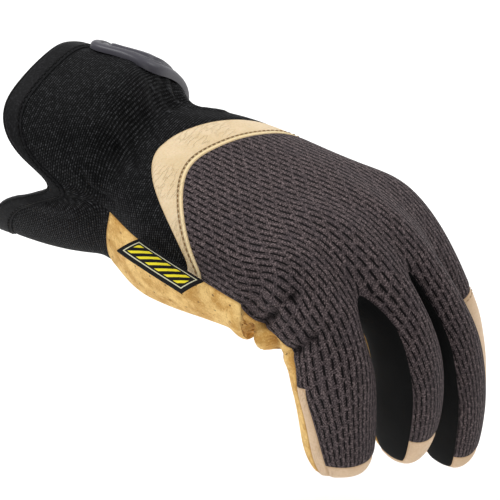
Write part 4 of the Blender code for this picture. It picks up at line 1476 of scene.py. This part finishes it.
def add_surroundings():
    """A pale floor, a pale sky and soft lights."""
    square = ((-1, -1), (1, -1), (1, 1), (-1, 1))
    corners = [(x * FLOOR_HALF, y * FLOOR_HALF, FLOOR_HEIGHT) for x, y in square]
    mesh = raw_mesh("floor", corners, [(0, 1, 2, 3)])
    look = Shading("floor_white", 0.9)
    look.finish(FLOOR_COLOUR)
    mesh.materials.append(look.material)
    linked("floor", mesh)
    world = bpy.data.worlds.new("studio")
    world.use_nodes = True
    world.node_tree.nodes["Background"].inputs["Color"].default_value = (1.0, 1.0, 1.0, 1.0)
    world.node_tree.nodes["Background"].inputs["Strength"].default_value = SKY_STRENGTH
    bpy.context.scene.world = world
    bpy.context.scene.view_settings.view_transform = "Standard"
    for name, place, size, power in LIGHTS:
        light = bpy.data.lights.new(name, "AREA")
        light.shape = "DISK"
        light.size = size
        light.energy = power
        made = linked(name, light)
        made.location = place
        made.rotation_euler = (Vector(LIGHT_TARGET) - Vector(place)).to_track_quat("-Z", "Y").to_euler()


def add_camera():
    turn, tilt = math.radians(CAMERA_TURN), math.radians(CAMERA_TILT)
    back = Vector((math.sin(turn) * math.cos(tilt), -math.cos(turn) * math.cos(tilt), math.sin(tilt)))
    data = bpy.data.cameras.new("camera")
    data.lens = CAMERA_LENS
    data.sensor_width = 36.0
    data.clip_end = 20.0
    camera = linked("camera", data)
    turned = back.to_track_quat("Z", "Y").to_matrix()
    right, up = turned.col[0], turned.col[1]
    place = Vector(CAMERA_TARGET) + back * CAMERA_DISTANCE + right * CAMERA_SLIDE[0] + up * CAMERA_SLIDE[1]
    camera.matrix_world = Matrix.Translation(place) @ turned.to_4x4()
    bpy.context.scene.camera = camera


def main():
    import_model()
    looks = make_looks()
    cage, grid = build_cage()
    points, faces, panels, flats = smooth_skin(cage, SMOOTHING)
    points = press_folds(cage, grid, points, skin_normals(points, faces), palm_share(points, faces, panels))
    tree = skin_tree(points, faces)
    points, shade = press_creases(points, skin_normals(points, faces))
    skin = (points, faces, panels, flats, skin_normals(points, faces), directed_edges(faces), shade)
    for number, name in enumerate(PANEL_NAMES):
        slot = PANELS[name][2]
        look = looks[OWN_LOOKS.get(name, slot)]
        put(panel_mesh(name, skin, number, look), VISUAL_NODES.get(name, (name,)))
    put(rubber_tab(tree, looks["rubber_grey"]), ("rubber_tab",))
    put(side_label(tree, cage, grid, looks["woven_label"]), ("side_label",))
    fine_tree = skin_tree(points, faces)
    for name, row in STITCH_ROWS.items():
        put(stitch_row(name, skin, fine_tree, row, looks[row[2]]))
    add_surroundings()
    add_camera()


main()
